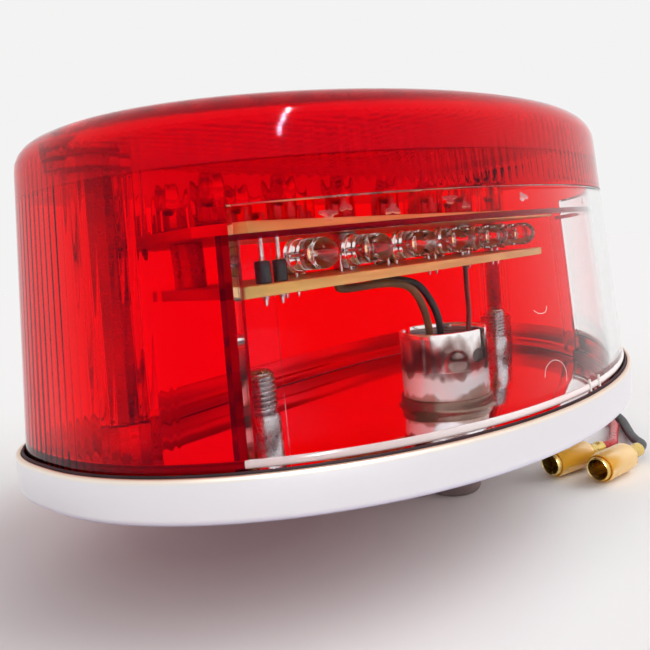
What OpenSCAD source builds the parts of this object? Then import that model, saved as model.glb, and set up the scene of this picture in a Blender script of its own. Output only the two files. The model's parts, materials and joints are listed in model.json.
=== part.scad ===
// Motorcycle tail light with a clear number-plate window, a chromed pan and an LED unit.
// The lamp lies on its back: +Z is the way the lens faces, -Y is the number-plate side.
// The origin is under the middle of the lamp, on the surface that its mounting studs stand on.

/* [Outline] */
// Width of the lamp at its wide line
lamp_w = 137.5; // [128:0.5:150]
// Depth from the wide line to the number-plate side
near_r = 49.2; // [46:0.2:54]
// Depth from the wide line to the flat side
far_r = 32.8; // [31:0.2:37]
// How square the flat side is: 2 is an ellipse
far_power = 3; // [2.6:0.1:3.4]
// How much narrower the number-plate side is
egg = 0.09; // [0.05:0.01:0.12]

/* [Pan] */
// Height of the chromed rim
rim_h = 6.4; // [5.5:0.1:8]
// Thickness of the pan's steel sheet
sheet_t = 0.8; // [0.6:0.1:1.2]
// Height of the pressed floor above the rim's lower edge
floor_h = 0.7; // [0.5:0.1:1.5]
// Width of the channel that the lens stands in
channel_w = 8; // [6.5:0.5:10]

/* [Gasket] */
// Thickness of the gasket under the lens
gasket_t = 1.5; // [1:0.1:2]
// Thickness of the gasket's upstand between rim and lens
gasket_lip_t = 0.4; // [0.3:0.1:0.8]
// How far the upstand shows above the rim
gasket_show = 0.5; // [0.1:0.05:0.6]

/* [Lens] */
// Height of the lens top above the rim's lower edge
lens_h = 53.9; // [50:0.1:60]
// Thickness of the lens wall
lens_wall = 2.6; // [2:0.1:3.2]
// How far the lens wall leans in over its height
lens_draft = 3.8; // [2.5:0.1:5]
// Radius of the lens's upper edge
lens_edge_r = 5.3; // [4:0.1:7]
// Gap between the lens and the gasket
lens_gap = 0.2; // [0.15:0.05:0.25]

/* [Plate window] */
// Place of the window's ends, as an angle around the outline
window_end = 33; // [30:1:38]
// Height of the window's top above the rim's lower edge
window_h = 39.7; // [38.5:0.1:42]
// Thickness of the red frame round the window
frame_t = 2.9; // [2:0.1:3.5]
// Depth of the red frame inside the lens wall
frame_d = 2.6; // [1.5:0.1:3.5]
// Thickness of the red rib across the window
rib_t = 0.8; // [0.6:0.1:1.2]
// Distance from the rib's underside to the window's top
rib_drop = 4.5; // [3.5:0.1:6]

/* [Lens screws] */
// Shank diameter of a lens screw
screw_d = 4; // [3.5:0.5:5]
// Diameter of a lens screw's head
screw_head_d = 7.4; // [7:0.1:8.5]
// Height of a lens screw's head
screw_head_h = 2.4; // [2:0.1:3]
// Distance from a lens screw to the end of the lamp
screw_inset = 13; // [12.5:0.25:14]
// Height of the threaded pillars on the pan
pillar_h = 9; // [6:0.5:12]
// Wall of a screw tube or pillar
tube_wall = 1.9; // [1.5:0.1:2.4]
// Thickness of the seal under a screw head
seal_t = 0.8; // [0.6:0.1:1.2]

/* [Posts and mounting studs] */
// Distance between the two threaded posts inside the lamp
post_span = 75.8; // [70:0.2:80]
// Diameter of a threaded post
post_d = 5; // [4:0.5:6]
// Height of a threaded post above the pan's floor
post_h = 13.6; // [12:0.1:18]
// Pitch of the post's thread
post_pitch = 0.8; // [0.7:0.1:1]
// Diameter of a mounting stud
stud_d = 6; // [5:0.5:8]
// Length of a mounting stud below the rim
stud_l = 16; // [15:0.5:22]
// Distance between the two mounting studs
stud_span = 50; // [40:1:60]
// Diameter of a rubber damper
damper_d = 16; // [14:0.5:18]
// Thickness of a rubber damper
damper_t = 5; // [3:0.5:6]

/* [LED unit] */
// Thickness of a circuit board
board_t = 1.6; // [1.2:0.1:2]
// Height of the lower board's underside above the rim's lower edge
lower_board_h = 27.5; // [26:0.1:28]
// Clear height between the boards
board_gap = 7; // [6.6:0.1:8.5]
// Depth of the lower board
lower_board_d = 23; // [21:0.5:26]
// How much shorter the lower board is than the upper one at its right end
lower_board_short = 7.2; // [6:0.2:9]
// Distance from the boards' front edge to the number-plate side
board_setback = 27.1; // [25:0.1:28]
// Distance from the upper board's front corners to the ends of the lamp
board_inset = 22.2; // [21:0.2:24]
// Distance from the upper board to the flat side
board_back_gap = 10; // [9:0.5:12]
// Diameter of an LED
led_d = 5; // [4.6:0.1:5.2]
// Length of an LED
led_l = 8.6; // [8:0.1:9.2]
// Distance from the upper board's left corner to the first plate LED
plate_led_inset = 16.25; // [15:0.25:18]
// Distance between the plate LEDs
plate_led_pitch = 13.4; // [12.5:0.1:14]
// Distance between the tail LEDs
tail_led_pitch = 14; // [12:0.5:16]
// Distance between the rows of tail LEDs
tail_row_pitch = 12; // [9:0.5:12]
// Thickness of the leads of LEDs and small parts
lead_t = 0.5; // [0.4:0.1:0.8]
// Diameter of the spacers between the boards
spacer_d = 5; // [4:0.5:6]

/* [Bulb socket] */
// Bore of the socket shell
socket_bore_d = 15.2; // [15:0.1:15.6]
// Wall of the socket shell
socket_wall = 0.65; // [0.5:0.05:0.9]
// Height of the socket's mouth above the pan's floor
socket_h = 14.6; // [13.5:0.1:16]
// Depth of the socket below the pan's floor
socket_drop = 9.5; // [8:0.5:11]
// Height of the plug that carries the LED unit's wires
plug_h = 6; // [5:0.5:7]
// Depth of the plug's top below the socket's mouth
plug_sink = 1.6; // [1:0.1:2.5]
// Wire diameter of the contact spring
spring_wire_d = 0.8; // [0.6:0.1:1]
// Turns of the contact spring
spring_turns = 5; // [4:1:6]
// Wall of the rubber boot under the socket
boot_wall = 1.4; // [1:0.1:2]
// Radius of the boot's tail, which the lamp also stands on
boot_tail_r = 5.5; // [5:0.5:6.5]
// Reach of the boot's outlet from its axis
outlet_reach = 13; // [12:0.5:15]

/* [Wires] */
// Diameter of the wires between board and socket
wire_d = 1.6; // [1.2:0.1:1.8]
// Diameter of the two leads outside the lamp
lead_d = 2; // [1.6:0.1:2]
// Bore of a lead's round receptacle
receptacle_bore_d = 3.9; // [3.7:0.1:4.1]
// Length of a receptacle's round part
receptacle_l = 10; // [8:0.5:12]
// Length of a receptacle's crimped tail
crimp_l = 5; // [4:0.5:6]

/* [Hidden] */

// Running clearance round screws, sleeves and the plug
fit_gap = 0.06;
// Gap between the window and the rib behind it
rib_gap = 0.1;
// Number of points round the outline
outline_n = 96;
near_power = 2;
plan_y = (near_r - far_r) / 2;

// Heights, from the surface that the studs stand on
rim_z = stud_l;
rim_top = rim_z + rim_h;
floor_z = rim_z + floor_h;
floor_top = floor_z + sheet_t;
gasket_z = rim_z + sheet_t;
lens_z = gasket_z + gasket_t + lens_gap;
lens_top = rim_z + lens_h;
window_top = rim_z + window_h;
lens_inset = sheet_t + gasket_lip_t + lens_gap;

// Lens screws
screw_x = lamp_w / 2 - screw_inset;
screw_y = plan_y;
tube_r = screw_d / 2 + 0.3 + tube_wall;
head_room_r = screw_head_d / 2 + 0.6;
pillar_top = floor_top + pillar_h;
tube_z = pillar_top + 0.3;
screw_head_z = lens_top - lens_wall - screw_head_h / 2;

// Boards
lower_board_z = rim_z + lower_board_h;
lower_board_top = lower_board_z + board_t;
upper_board_z = lower_board_top + board_gap;
upper_board_top = upper_board_z + board_t;
board_y = -(near_r + far_r) / 2 + board_setback;
board_half_w = lamp_w / 2 - board_inset;
board_side = screw_x - tube_r - 0.9;
lower_board_x0 = -(board_half_w + 1.5);
lower_board_x1 = board_half_w - lower_board_short;
upper_board_back = plan_y + far_r - board_back_gap;
board_screw_x = board_side - 3.4;
board_screw_y = tail_row_pitch / 2 + tail_row_pitch;
board_screw_d = 2.9;
boss_r = 2.6;
led_flange_r = led_d / 2 + 0.4;
plate_led_n = 6;
plate_led_x0 = plate_led_inset - board_half_w;
plate_led_y = board_y + 0.4 + led_l;
plate_led_z = (lower_board_top + upper_board_z) / 2;
tail_cols = floor((board_half_w - led_flange_r - 0.2) / tail_led_pitch);
tail_rows = 3;
brake_cols = 1;
diode_x = [4.35 - board_half_w, 7.95 - board_half_w];
diode_y = [board_y + 3.2, board_y + 3.8];
spacer_x = [lower_board_x0 + 4, -8, lower_board_x1 - 4];
spacer_y = board_y + lower_board_d - 4;
resistor_x = [-24, 4, 22];
resistor_y = spacer_y - 0.6;
resistor_r = 1.1;
resistor_l = 6.3;

// Socket
socket_y = -11;
socket_r = socket_bore_d / 2 + socket_wall;
collar_h = 2.2;
collar_t = 0.5;
socket_top = floor_top + socket_h;
socket_z = floor_z - socket_drop;
slot_depth = 4.7;
slot_w = 2.4;
plug_top = socket_top - plug_sink;
plug_z = plug_top - plug_h;
pad_t = 0.4;
contact_r = 2;
contact_x = 3.3;
contact_top = plug_z - pad_t - 0.3;
carrier_t = 2;
carrier_top = contact_top - 1;
carrier_z = carrier_top - carrier_t;
socket_base_t = 2;
spring_z = socket_z + socket_base_t;
spring_r = 5;
boot_r = socket_r + boot_wall;
boot_tail_h = socket_z / 2;
lead_spread = 1.5;
outlet_r = lead_spread + lead_d / 2 + 0.3;
outlet_z = outlet_r + 0.6;
outlet_way = [cos(45), sin(45), 0];

// Posts and mounting studs
post_y = -1.7;
stud_flange_r = stud_d;
stud_flange_t = 1.2;
stud_shoulder_r = stud_d / 2 + 0.3;
damper_z = floor_z - stud_flange_t - damper_t;
shoulder_z = damper_z - 0.1;
stud_y = plan_y + far_r - channel_w - stud_flange_r - 0.9;

// Leads outside the lamp
receptacle_r = receptacle_bore_d / 2 + 0.35;
sleeve_t = 0.55;
sleeve_l = receptacle_l + 1;
receptacle_z = receptacle_r + fit_gap + sleeve_t;
red_end = [27.4, -29.7];
red_angle = 162;
black_end = [29.6, -36.2];
black_angle = 170;
red_route = [[10.3, -2.9, 3.4], [12.6, -0.6, 3.2], [15.4, 1.8, 2.2], [20, 4.6, 1.2], [27, 7, 1.1],
    [35, 8, 1.1], [43, 7.2, 1.1], [50.5, 4, 1.1], [56, -1.6, 1.1], [58.4, -8.4, 1.1], [57.4, -15.2, 1.1],
    [53.8, -20.6, 1.1], [48.5, -24.7, 1.1], [42.1, -26.9, 1.4], [35.4, -29.2, 2.2], [30.7, -30.6, 2.8],
    [27.4, -29.7, 2.9]];
black_route = [[8.1, -0.8, 3.4], [10.2, 1.5, 3.2], [13, 4.2, 2.2], [17.4, 7.6, 1.2], [25, 10.6, 1.1],
    [35, 12, 1.1], [45, 11.4, 1.1], [54, 8, 1.1], [60.4, 1.8, 1.1], [63.2, -6, 1.1], [62.4, -14, 1.1],
    [58.6, -20.4, 1.1], [53.6, -24.6, 1.1], [47.7, -27.8, 1.1], [42.1, -30.6, 1.4], [37.1, -33.3, 2.1],
    [33.3, -35.6, 2.7], [29.6, -36.2, 2.9]];
black_wire_route = [[-12.5, -6, 43.5], [-12, -6.2, 42.4], [-7.6, -7.2, 42.3], [-3.8, -8.8, 41],
    [-2, -10.2, 37.8], [-0.9, -11, 34.1], [-0.5, -11, 30.5]];
brown_wire_route = [[-25, -8.6, 43.5], [-24, -8.7, 42.4], [-15, -9.8, 42.3], [-9.8, -10.6, 41.4],
    [-7.2, -11, 39.4], [-5.2, -11, 36.2], [-4.4, -11, 33.6], [-4, -11, 30.5]];
red_wire_route = [[10.8, -10.5, 43.5], [10.6, -10.6, 41.8], [9.6, -11.2, 38.4], [7.8, -12.4, 35],
    [6.2, -13.2, 32.6], [5.4, -13.4, 30.5]];

// Outline of the lamp, drawn in by an inset all round
function signed_pow(v, p) = sign(v) * pow(abs(v), p);
function outline_point(t, inset) =
    let (power = sin(t) < 0 ? near_power : far_power,
        r = sin(t) < 0 ? near_r : far_r,
        y = (r - inset) * signed_pow(sin(t), 2 / power),
        x = (lamp_w / 2 - inset) * signed_pow(cos(t), 2 / power) * (1 + egg * y / near_r))
    [x, y + plan_y];
function outline(inset) = [for (i = [0 : outline_n - 1]) outline_point(i * 360 / outline_n, inset)];
function outline_normal(t, inset) =
    let (d = outline_point(t + 1, inset) - outline_point(t - 1, inset))
    [d.y, -d.x] / norm(d);
function lens_lean(z) = lens_draft * (z - rim_top) / (lens_top - lens_edge_r - rim_top);
function ring_at(inset, z) = [for (p = outline(inset)) [p.x, p.y, z]];

// Profiles of the lens, as insets and heights from the foot up
outer_profile = concat(
    [[lens_inset, lens_z], [lens_inset, rim_top]],
    [for (a = [0, 30, 60, 90])
        [lens_inset + lens_draft + lens_edge_r * (1 - cos(a)), lens_top - lens_edge_r * (1 - sin(a))]]);
inner_edge_r = lens_edge_r - lens_wall;
inner_profile = concat(
    [[lens_inset + lens_wall, lens_z - 1], [lens_inset + lens_wall, rim_top]],
    [for (a = [0, 45, 90])
        [lens_inset + lens_wall + lens_draft + inner_edge_r * (1 - cos(a)),
            lens_top - lens_wall - inner_edge_r * (1 - sin(a))]]);

// A solid through rings of equal count, closed by flat ends
module loft(rings) {
    n = len(rings[0]);
    points = [for (ring = rings) each ring];
    sides = [for (k = [0 : len(rings) - 2], i = [0 : n - 1])
        let (j = (i + 1) % n, a = k * n + i, b = k * n + j, c = (k + 1) * n + j, d = (k + 1) * n + i)
        each [[a, c, b], [a, d, c]]];
    bottom = [for (i = [0 : n - 1]) i];
    top = [for (i = [n - 1 : -1 : 0]) (len(rings) - 1) * n + i];
    polyhedron(points, concat([bottom], sides, [top]), convexity = 8);
}

// A tube of round section along a route
function unit(v) = v / norm(v);
function catmull(p0, p1, p2, p3, u) =
    0.5 * (2 * p1 + (p2 - p0) * u + (2 * p0 - 5 * p1 + 4 * p2 - p3) * u * u
        + (3 * p1 - p0 - 3 * p2 + p3) * u * u * u);
function smooth_route(route, steps) =
    let (last = len(route) - 1)
    concat([for (i = [0 : last - 1], s = [0 : steps - 1])
        catmull(route[max(i - 1, 0)], route[i], route[i + 1], route[min(i + 2, last)], s / steps)],
        [route[last]]);
function tangent_at(path, i) = unit(path[min(i + 1, len(path) - 1)] - path[max(i - 1, 0)]);
function side_of(t, old) = unit(old - (old * t) * t);
function carried_sides(path, ends, i, old) =
    i >= len(path) ? [] :
    let (t = i == 0 ? ends[0] : i == len(path) - 1 ? ends[1] : tangent_at(path, i), s = side_of(t, old))
    concat([[s, cross(t, s)]], carried_sides(path, ends, i + 1, s));
module tube_along(path, d, sides, ends) {
    frames = carried_sides(path, ends, 0, abs(ends[0].z) > 0.9 ? [1, 0, 0] : [0, 0, 1]);
    rings = [for (i = [0 : len(path) - 1])
        [for (k = [0 : sides - 1])
            path[i] + d / 2 * (cos(k * 360 / sides) * frames[i][0] + sin(k * 360 / sides) * frames[i][1])]];
    loft(rings);
}

module prism(inset, z0, z1) {
    translate([0, 0, z0])
        linear_extrude(z1 - z0)
            polygon(outline(inset));
}

module at_ends() {
    for (side = [-1, 1])
        translate([side * screw_x, screw_y, 0])
            children();
}

module at_studs() {
    for (side = [-1, 1])
        translate([side * stud_span / 2, stud_y, 0])
            children();
}

module ring_solid(r_out, r_in, z0, z1) {
    translate([0, 0, z0])
        difference() {
            cylinder(r = r_out, h = z1 - z0, $fn = 48);
            translate([0, 0, -1])
                cylinder(r = r_in, h = z1 - z0 + 2, $fn = 48);
        }
}

// Pan of chromed sheet: rim, channel under the lens and raised floor
module base_pan() {
    color("gainsboro")
    difference() {
        union() {
            difference() {
                loft([ring_at(0.7, rim_z), ring_at(0.2, rim_z + 0.2), ring_at(0, rim_z + 0.7),
                    ring_at(0, rim_top - 0.5), ring_at(0.15, rim_top - 0.15), ring_at(0.4, rim_top)]);
                prism(sheet_t, rim_z + sheet_t, rim_top + 1);
                prism(channel_w, rim_z - 1, rim_top + 1);
            }
            prism(channel_w - 0.8, floor_z, floor_top);
            translate([0, socket_y, 0])
                cylinder(r = socket_r + collar_t, h = floor_top + collar_h, $fn = 64);
        }
        prism_below_floor();
        translate([0, socket_y, floor_z - 1])
            cylinder(r = socket_r + fit_gap, h = socket_h, $fn = 64);
    }
}

// Room under the raised floor
module prism_below_floor() {
    prism(channel_w, -1, floor_z);
}

// Rubber gasket: a flat band with a thin upstand along the rim
module lens_gasket() {
    color("black") {
        difference() {
            prism(sheet_t, gasket_z, gasket_z + gasket_t);
            prism(lens_inset + lens_wall + 0.6, gasket_z - 1, gasket_z + gasket_t + 1);
        }
        difference() {
            prism(sheet_t, gasket_z + gasket_t, rim_top + gasket_show);
            prism(sheet_t + gasket_lip_t, gasket_z, rim_top + 2);
        }
    }
}

// Threaded pillars that the lens screws go into
module screw_pillars() {
    color("silver")
    at_ends() {
        ring_solid(tube_r, screw_d / 2 + fit_gap, floor_top, pillar_top);
    }
}

// Threaded posts inside the lamp: plain below, threaded above
module threaded_posts() {
    r = post_d / 2;
    core = r - 0.6 * post_pitch;
    turns = floor(post_h / 2 / post_pitch);
    thread_z = floor_top + post_h - 0.4 - turns * post_pitch;
    thread = [for (k = [0 : turns - 1]) each
        [[core, thread_z + k * post_pitch], [r, thread_z + (k + 0.5) * post_pitch]]];
    color("silver")
    for (side = [-1, 1])
        translate([side * post_span / 2, post_y, 0])
            rotate_extrude($fn = 32)
                polygon(concat([[0, floor_top], [r + 0.25, floor_top], [r + 0.25, thread_z - 0.5],
                    [core, thread_z - 0.5]], thread, [[core, floor_top + post_h - 0.4],
                    [core - 0.4, floor_top + post_h], [0, floor_top + post_h]]));
}

// Mounting studs welded to the back of the pan, with a plain shoulder inside the dampers
module mount_studs() {
    color("silver")
    at_studs() {
        rotate_extrude($fn = 48)
            polygon([[0, 0], [stud_d / 2 - 0.6, 0], [stud_d / 2, 0.6], [stud_d / 2, shoulder_z],
                [stud_shoulder_r, shoulder_z], [stud_shoulder_r, floor_z - stud_flange_t],
                [stud_flange_r, floor_z - stud_flange_t], [stud_flange_r, floor_z], [0, floor_z]]);
    }
}

module stud_dampers() {
    color("dimgray")
    at_studs()
        ring_solid(damper_d / 2, stud_shoulder_r + 0.1, damper_z, damper_z + damper_t);
}

// Lens shell, before it is divided into the red lens and the clear window
module lens_outer() {
    loft([for (p = outer_profile) ring_at(p[0], p[1])]);
}

module lens_shell() {
    difference() {
        lens_outer();
        loft([for (p = inner_profile) ring_at(p[0], p[1])]);
    }
}

// Way along the wall, away from the window, at one of its ends
function end_way(t, side) = let (n = outline_normal(t, lens_inset)) side * [-n.y, n.x];

// Space of the window: everything on the number-plate side between its two ends
module window_space(z0, z1, grow) {
    left_t = 180 + window_end;
    right_t = -window_end;
    left = outline_point(left_t, lens_inset) + grow * end_way(left_t, -1);
    right = outline_point(right_t, lens_inset) + grow * end_way(right_t, 1);
    left_n = outline_normal(left_t, lens_inset);
    right_n = outline_normal(right_t, lens_inset);
    translate([0, 0, z0])
        linear_extrude(z1 - z0)
            polygon([left - 14 * left_n, left + 12 * left_n, [-lamp_w, -2 * near_r],
                [lamp_w, -2 * near_r], right + 12 * right_n, right - 14 * right_n]);
}

// Upright bar of the window's frame; the window's space is cut from its near side
module frame_bar(t, side) {
    n = outline_normal(t, lens_inset);
    p = outline_point(t, lens_inset) - end_way(t, side);
    across = end_way(t, side) * (frame_t + 1);
    deep = n * (lens_wall + lens_draft * window_h / lens_h + frame_d);
    intersection() {
        lens_outer();
        translate([0, 0, lens_z - 1])
            linear_extrude(window_top + 1.6 - lens_z)
                polygon([p + 3 * n, p + 3 * n + across, p + across - deep, p - deep]);
    }
}

// Rib of the window's frame, behind the window from one upright bar to the other
module frame_rib() {
    rib_z = window_top - rib_drop;
    wall_in = lens_inset + lens_wall + lens_lean(rib_z + rib_t) + rib_gap;
    intersection() {
        difference() {
            prism(wall_in, rib_z, rib_z + rib_t);
            prism(wall_in + frame_d - 0.6, rib_z - 1, rib_z + rib_t + 1);
        }
        window_space(rib_z - 1, rib_z + rib_t + 1, 1.3);
    }
}

module red_lens() {
    roof_z = lens_top - lens_wall;
    color("red")
    difference() {
        union() {
            difference() {
                union() {
                    lens_shell();
                    frame_bar(180 + window_end, -1);
                    frame_bar(-window_end, 1);
                }
                window_space(lens_z - 2, window_top, 0);
            }
            frame_rib();
            at_ends() {
                translate([0, 0, tube_z])
                    cylinder(r = tube_r, h = roof_z + 1 - tube_z, $fn = 48);
                translate([0, 0, screw_head_z - seal_t - 2])
                    cylinder(r = head_room_r + 1.4, h = roof_z + 1 - screw_head_z + seal_t + 2, $fn = 48);
            }
            for (side = [-1, 1])
                translate([side * board_screw_x, board_screw_y, upper_board_top])
                    cylinder(r = boss_r, h = roof_z + 1 - upper_board_top, $fn = 32);
        }
        at_ends() {
            cylinder(r = screw_d / 2 + 0.3, h = lens_top + 1, $fn = 48);
            translate([0, 0, screw_head_z - seal_t])
                cylinder(r = head_room_r, h = lens_top, $fn = 48);
        }
        for (side = [-1, 1])
            translate([side * board_screw_x, board_screw_y, upper_board_top - 1])
                cylinder(r = board_screw_d / 2 + fit_gap, h = 8, $fn = 32);
    }
}

module plate_window() {
    color("white", 0.35)
    intersection() {
        lens_shell();
        window_space(lens_z - 1, window_top, 0);
    }
}

// Lens screw: round head with a cross recess, shank down into the pillar
module lens_screw() {
    tip_z = floor_top + 1;
    color("silver")
    difference() {
        rotate_extrude($fn = 48)
            polygon([[0, tip_z], [screw_d / 2 - 0.5, tip_z], [screw_d / 2, tip_z + 0.5],
                [screw_d / 2, screw_head_z], [screw_head_d / 2, screw_head_z],
                [screw_head_d / 2, screw_head_z + 0.5 * screw_head_h],
                [screw_head_d / 2 - 0.8, screw_head_z + 0.85 * screw_head_h],
                [screw_head_d / 2 - 1.8, screw_head_z + screw_head_h], [0, screw_head_z + screw_head_h]]);
        for (a = [0, 90])
            rotate([0, 0, a])
                translate([-1.9, -0.4, screw_head_z + 0.35 * screw_head_h])
                    cube([3.8, 0.8, screw_head_h]);
    }
}

module lens_screw_left() {
    translate([-screw_x, screw_y, 0])
        lens_screw();
}

module lens_screw_right() {
    translate([screw_x, screw_y, 0])
        lens_screw();
}

module screw_seals() {
    color("darkred")
    at_ends()
        ring_solid(screw_head_d / 2 + 0.2, screw_d / 2 + 0.1, screw_head_z - seal_t, screw_head_z - 0.05);
}

// Boards of the LED unit
module upper_board() {
    color("peru")
    translate([0, 0, upper_board_z])
        difference() {
            linear_extrude(board_t)
                polygon([for (s = [1, -1]) each s > 0 ?
                    [[board_half_w, board_y], [board_side, board_y + 7],
                        [board_side, upper_board_back - 9], [board_side - 7, upper_board_back]] :
                    [[7 - board_side, upper_board_back], [-board_side, upper_board_back - 9],
                        [-board_side, board_y + 7], [-board_half_w, board_y]]]);
            for (side = [-1, 1])
                translate([side * board_screw_x, board_screw_y, -1])
                    cylinder(r = board_screw_d / 2 + 0.1, h = board_t + 2, $fn = 32);
        }
}

module lower_board() {
    color("peru")
    translate([lower_board_x0, board_y, lower_board_z])
        cube([lower_board_x1 - lower_board_x0, lower_board_d, board_t]);
}

module board_spacers() {
    color("silver")
    for (x = spacer_x)
        translate([x, spacer_y, lower_board_top])
            cylinder(d = spacer_d, h = board_gap, $fn = 32);
}

// Screws that hold the upper board to the lens bosses
module board_screws() {
    color("silver")
    for (side = [-1, 1])
        translate([side * board_screw_x, board_screw_y, 0])
            rotate_extrude($fn = 32)
                polygon([[0, upper_board_z - 1.8], [1.8, upper_board_z - 1.8], [2.6, upper_board_z - 0.9],
                    [2.6, upper_board_z], [board_screw_d / 2, upper_board_z],
                    [board_screw_d / 2, upper_board_top + 5], [0, upper_board_top + 6]]);
}

// Round LED standing on its flange
module led() {
    rotate_extrude($fn = 32)
        polygon(concat([[0, 0], [led_flange_r, 0], [led_flange_r, 1], [led_d / 2, 1],
            [led_d / 2, led_l - led_d / 2]],
            [for (a = [15 : 15 : 75]) [led_d / 2 * cos(a), led_l - led_d / 2 * (1 - sin(a))]],
            [[0, led_l]]));
}

module plate_leds() {
    color("white", 0.5)
    for (k = [0 : plate_led_n - 1])
        translate([plate_led_x0 + k * plate_led_pitch, plate_led_y, plate_led_z])
            rotate([90, 0, 0])
                led();
}

module plate_led_leads() {
    color("silver")
    for (k = [0 : plate_led_n - 1], side = [-1, 1])
        translate([plate_led_x0 + k * plate_led_pitch + side * 1.27 - lead_t / 2, plate_led_y, 0]) {
            translate([0, 0, plate_led_z - lead_t / 2])
                cube([lead_t, 2, lead_t]);
            translate([0, 2 - lead_t, lower_board_top])
                cube([lead_t, lead_t, plate_led_z - lower_board_top]);
        }
}

// Places of the LEDs on the upper board: the middle columns brighten for the brake
module at_tail_leds(brake) {
    for (col = [-tail_cols : tail_cols], row = [0 : tail_rows - 1])
        if ((abs(col) <= brake_cols) == brake)
            translate([col * tail_led_pitch, row * tail_row_pitch, upper_board_top])
                children();
}

module tail_leds() {
    color("crimson")
    at_tail_leds(false)
        led();
}

module brake_leds() {
    color("firebrick")
    at_tail_leds(true)
        led();
}

// Upright diodes on the lower board
module diodes() {
    color("black")
    for (k = [0, 1])
        translate([diode_x[k], diode_y[k], lower_board_top])
            cylinder(r = 1.15, h = 3.2, $fn = 32);
}

module diode_leads() {
    color("silver")
    for (k = [0, 1])
        translate([diode_x[k], diode_y[k], lower_board_top + 3.2])
            cylinder(r = 0.4, h = board_gap - 3.2, $fn = 24);
}

module resistors() {
    color("burlywood")
    for (x = resistor_x)
        translate([x - resistor_l / 2, resistor_y, lower_board_top + resistor_r])
            rotate([0, 90, 0])
                cylinder(r = resistor_r, h = resistor_l, $fn = 24);
}

module resistor_leads() {
    color("silver")
    for (x = resistor_x, side = [-1, 1])
        translate([x + side * (resistor_l / 2 + 0.6), resistor_y - lead_t / 2, lower_board_top]) {
            translate([-lead_t / 2, 0, 0])
                cube([lead_t, lead_t, resistor_r + lead_t / 2]);
            translate([side > 0 ? -0.6 : 0, 0, resistor_r - lead_t / 2])
                cube([0.6, lead_t, lead_t]);
        }
}

// Solder and cut-off lead ends under the lower board
module solder_joint() {
    rotate_extrude($fn = 24)
        polygon([[0, 0], [0.95, 0], [0.45, -0.8], [0.3, -1.6], [0, -1.7]]);
}

module solder_joints() {
    color("lightgray")
    translate([0, 0, lower_board_z]) {
        for (k = [0 : plate_led_n - 1], side = [-1, 1])
            translate([plate_led_x0 + k * plate_led_pitch + side * 1.27, plate_led_y + 1.7, 0])
                solder_joint();
        for (k = [0, 1])
            translate([diode_x[k], diode_y[k], 0])
                solder_joint();
        for (x = resistor_x, side = [-1, 1])
            translate([x + side * (resistor_l / 2 + 0.6), resistor_y, 0])
                solder_joint();
    }
}

// Bayonet slot: in from the mouth, then sideways to a rounded end
slot_end_r = slot_w / 2 + 0.1;
slot_leg_y = [1.1, 2.9];
slot_points = let (a = asin((slot_w / 2 - 0.2) / slot_end_r)) concat(
    [[slot_leg_y[1], slot_depth + 1], [slot_leg_y[0], slot_depth + 1], [slot_leg_y[0], slot_w / 2 - 0.2]],
    [for (k = [0 : 12]) slot_end_r * [cos(a + k * (360 - 2 * a) / 12), sin(a + k * (360 - 2 * a) / 12)]],
    [[slot_leg_y[1], 0.2 - slot_w / 2]]);

// Bayonet socket: a shell with two angled slots and a small dent
module socket_shell() {
    dent = [2, 3.6, 3.8];
    color("silver")
    translate([0, socket_y, 0])
        difference() {
            translate([0, 0, socket_z])
                cylinder(r = socket_r, h = socket_top - socket_z, $fn = 64);
            translate([0, 0, socket_z - 1])
                cylinder(d = socket_bore_d, h = socket_top - socket_z + 2, $fn = 64);
            for (a = [270, 90])
                rotate([0, 0, a])
                    translate([socket_r - 3, 0, socket_top - slot_depth])
                        rotate([90, 0, 90])
                            linear_extrude(5)
                                polygon(slot_points);
            rotate([0, 0, 240])
                translate([socket_r - 0.3, -dent.y / 2, socket_top - 7.2])
                    cube(dent);
        }
}

// Insulating floor of the socket
module socket_base() {
    color("saddlebrown")
    translate([0, socket_y, socket_z])
        cylinder(r = socket_bore_d / 2, h = socket_base_t, $fn = 48);
}

// Coil spring under the contact carrier, with flat closed ends
spring_space = carrier_z - spring_z - spring_wire_d;
spring_path = [for (i = [0 : spring_turns * 8])
    let (rise = spring_space * i / (spring_turns * 8))
    [spring_r * cos(i * 45), socket_y + spring_r * sin(i * 45), spring_z + spring_wire_d / 2 + rise]];
module contact_spring() {
    last = len(spring_path) - 1;
    start_way = unit(spring_path[1] - spring_path[0]);
    end_way = unit(spring_path[last] - spring_path[last - 1]);
    color("gray")
        tube_along(spring_path, spring_wire_d, 6, [start_way, end_way]);
}

module contact_carrier() {
    color("saddlebrown")
    translate([0, socket_y, carrier_z])
        cylinder(r = socket_bore_d / 2 - 0.3, h = carrier_t, $fn = 48);
}

// Round contacts on the carrier
module contacts() {
    color("gold")
    for (side = [-1, 1])
        translate([side * contact_x, socket_y, carrier_top])
            rotate_extrude($fn = 32)
                polygon([[0, 0], [contact_r, 0], [contact_r, 0.5], [contact_r - 0.6, 1], [0, 1]]);
}

// Insulating plug in the socket's mouth, where the LED unit's wires end
module socket_plug() {
    color("black")
    translate([0, socket_y, plug_z])
        cylinder(r = socket_bore_d / 2 - fit_gap, h = plug_h, $fn = 64);
}

module plug_pads() {
    color("gold")
    for (side = [-1, 1])
        translate([side * contact_x, socket_y, plug_z - pad_t])
            cylinder(r = contact_r + 0.3, h = pad_t, $fn = 32);
}

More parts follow.
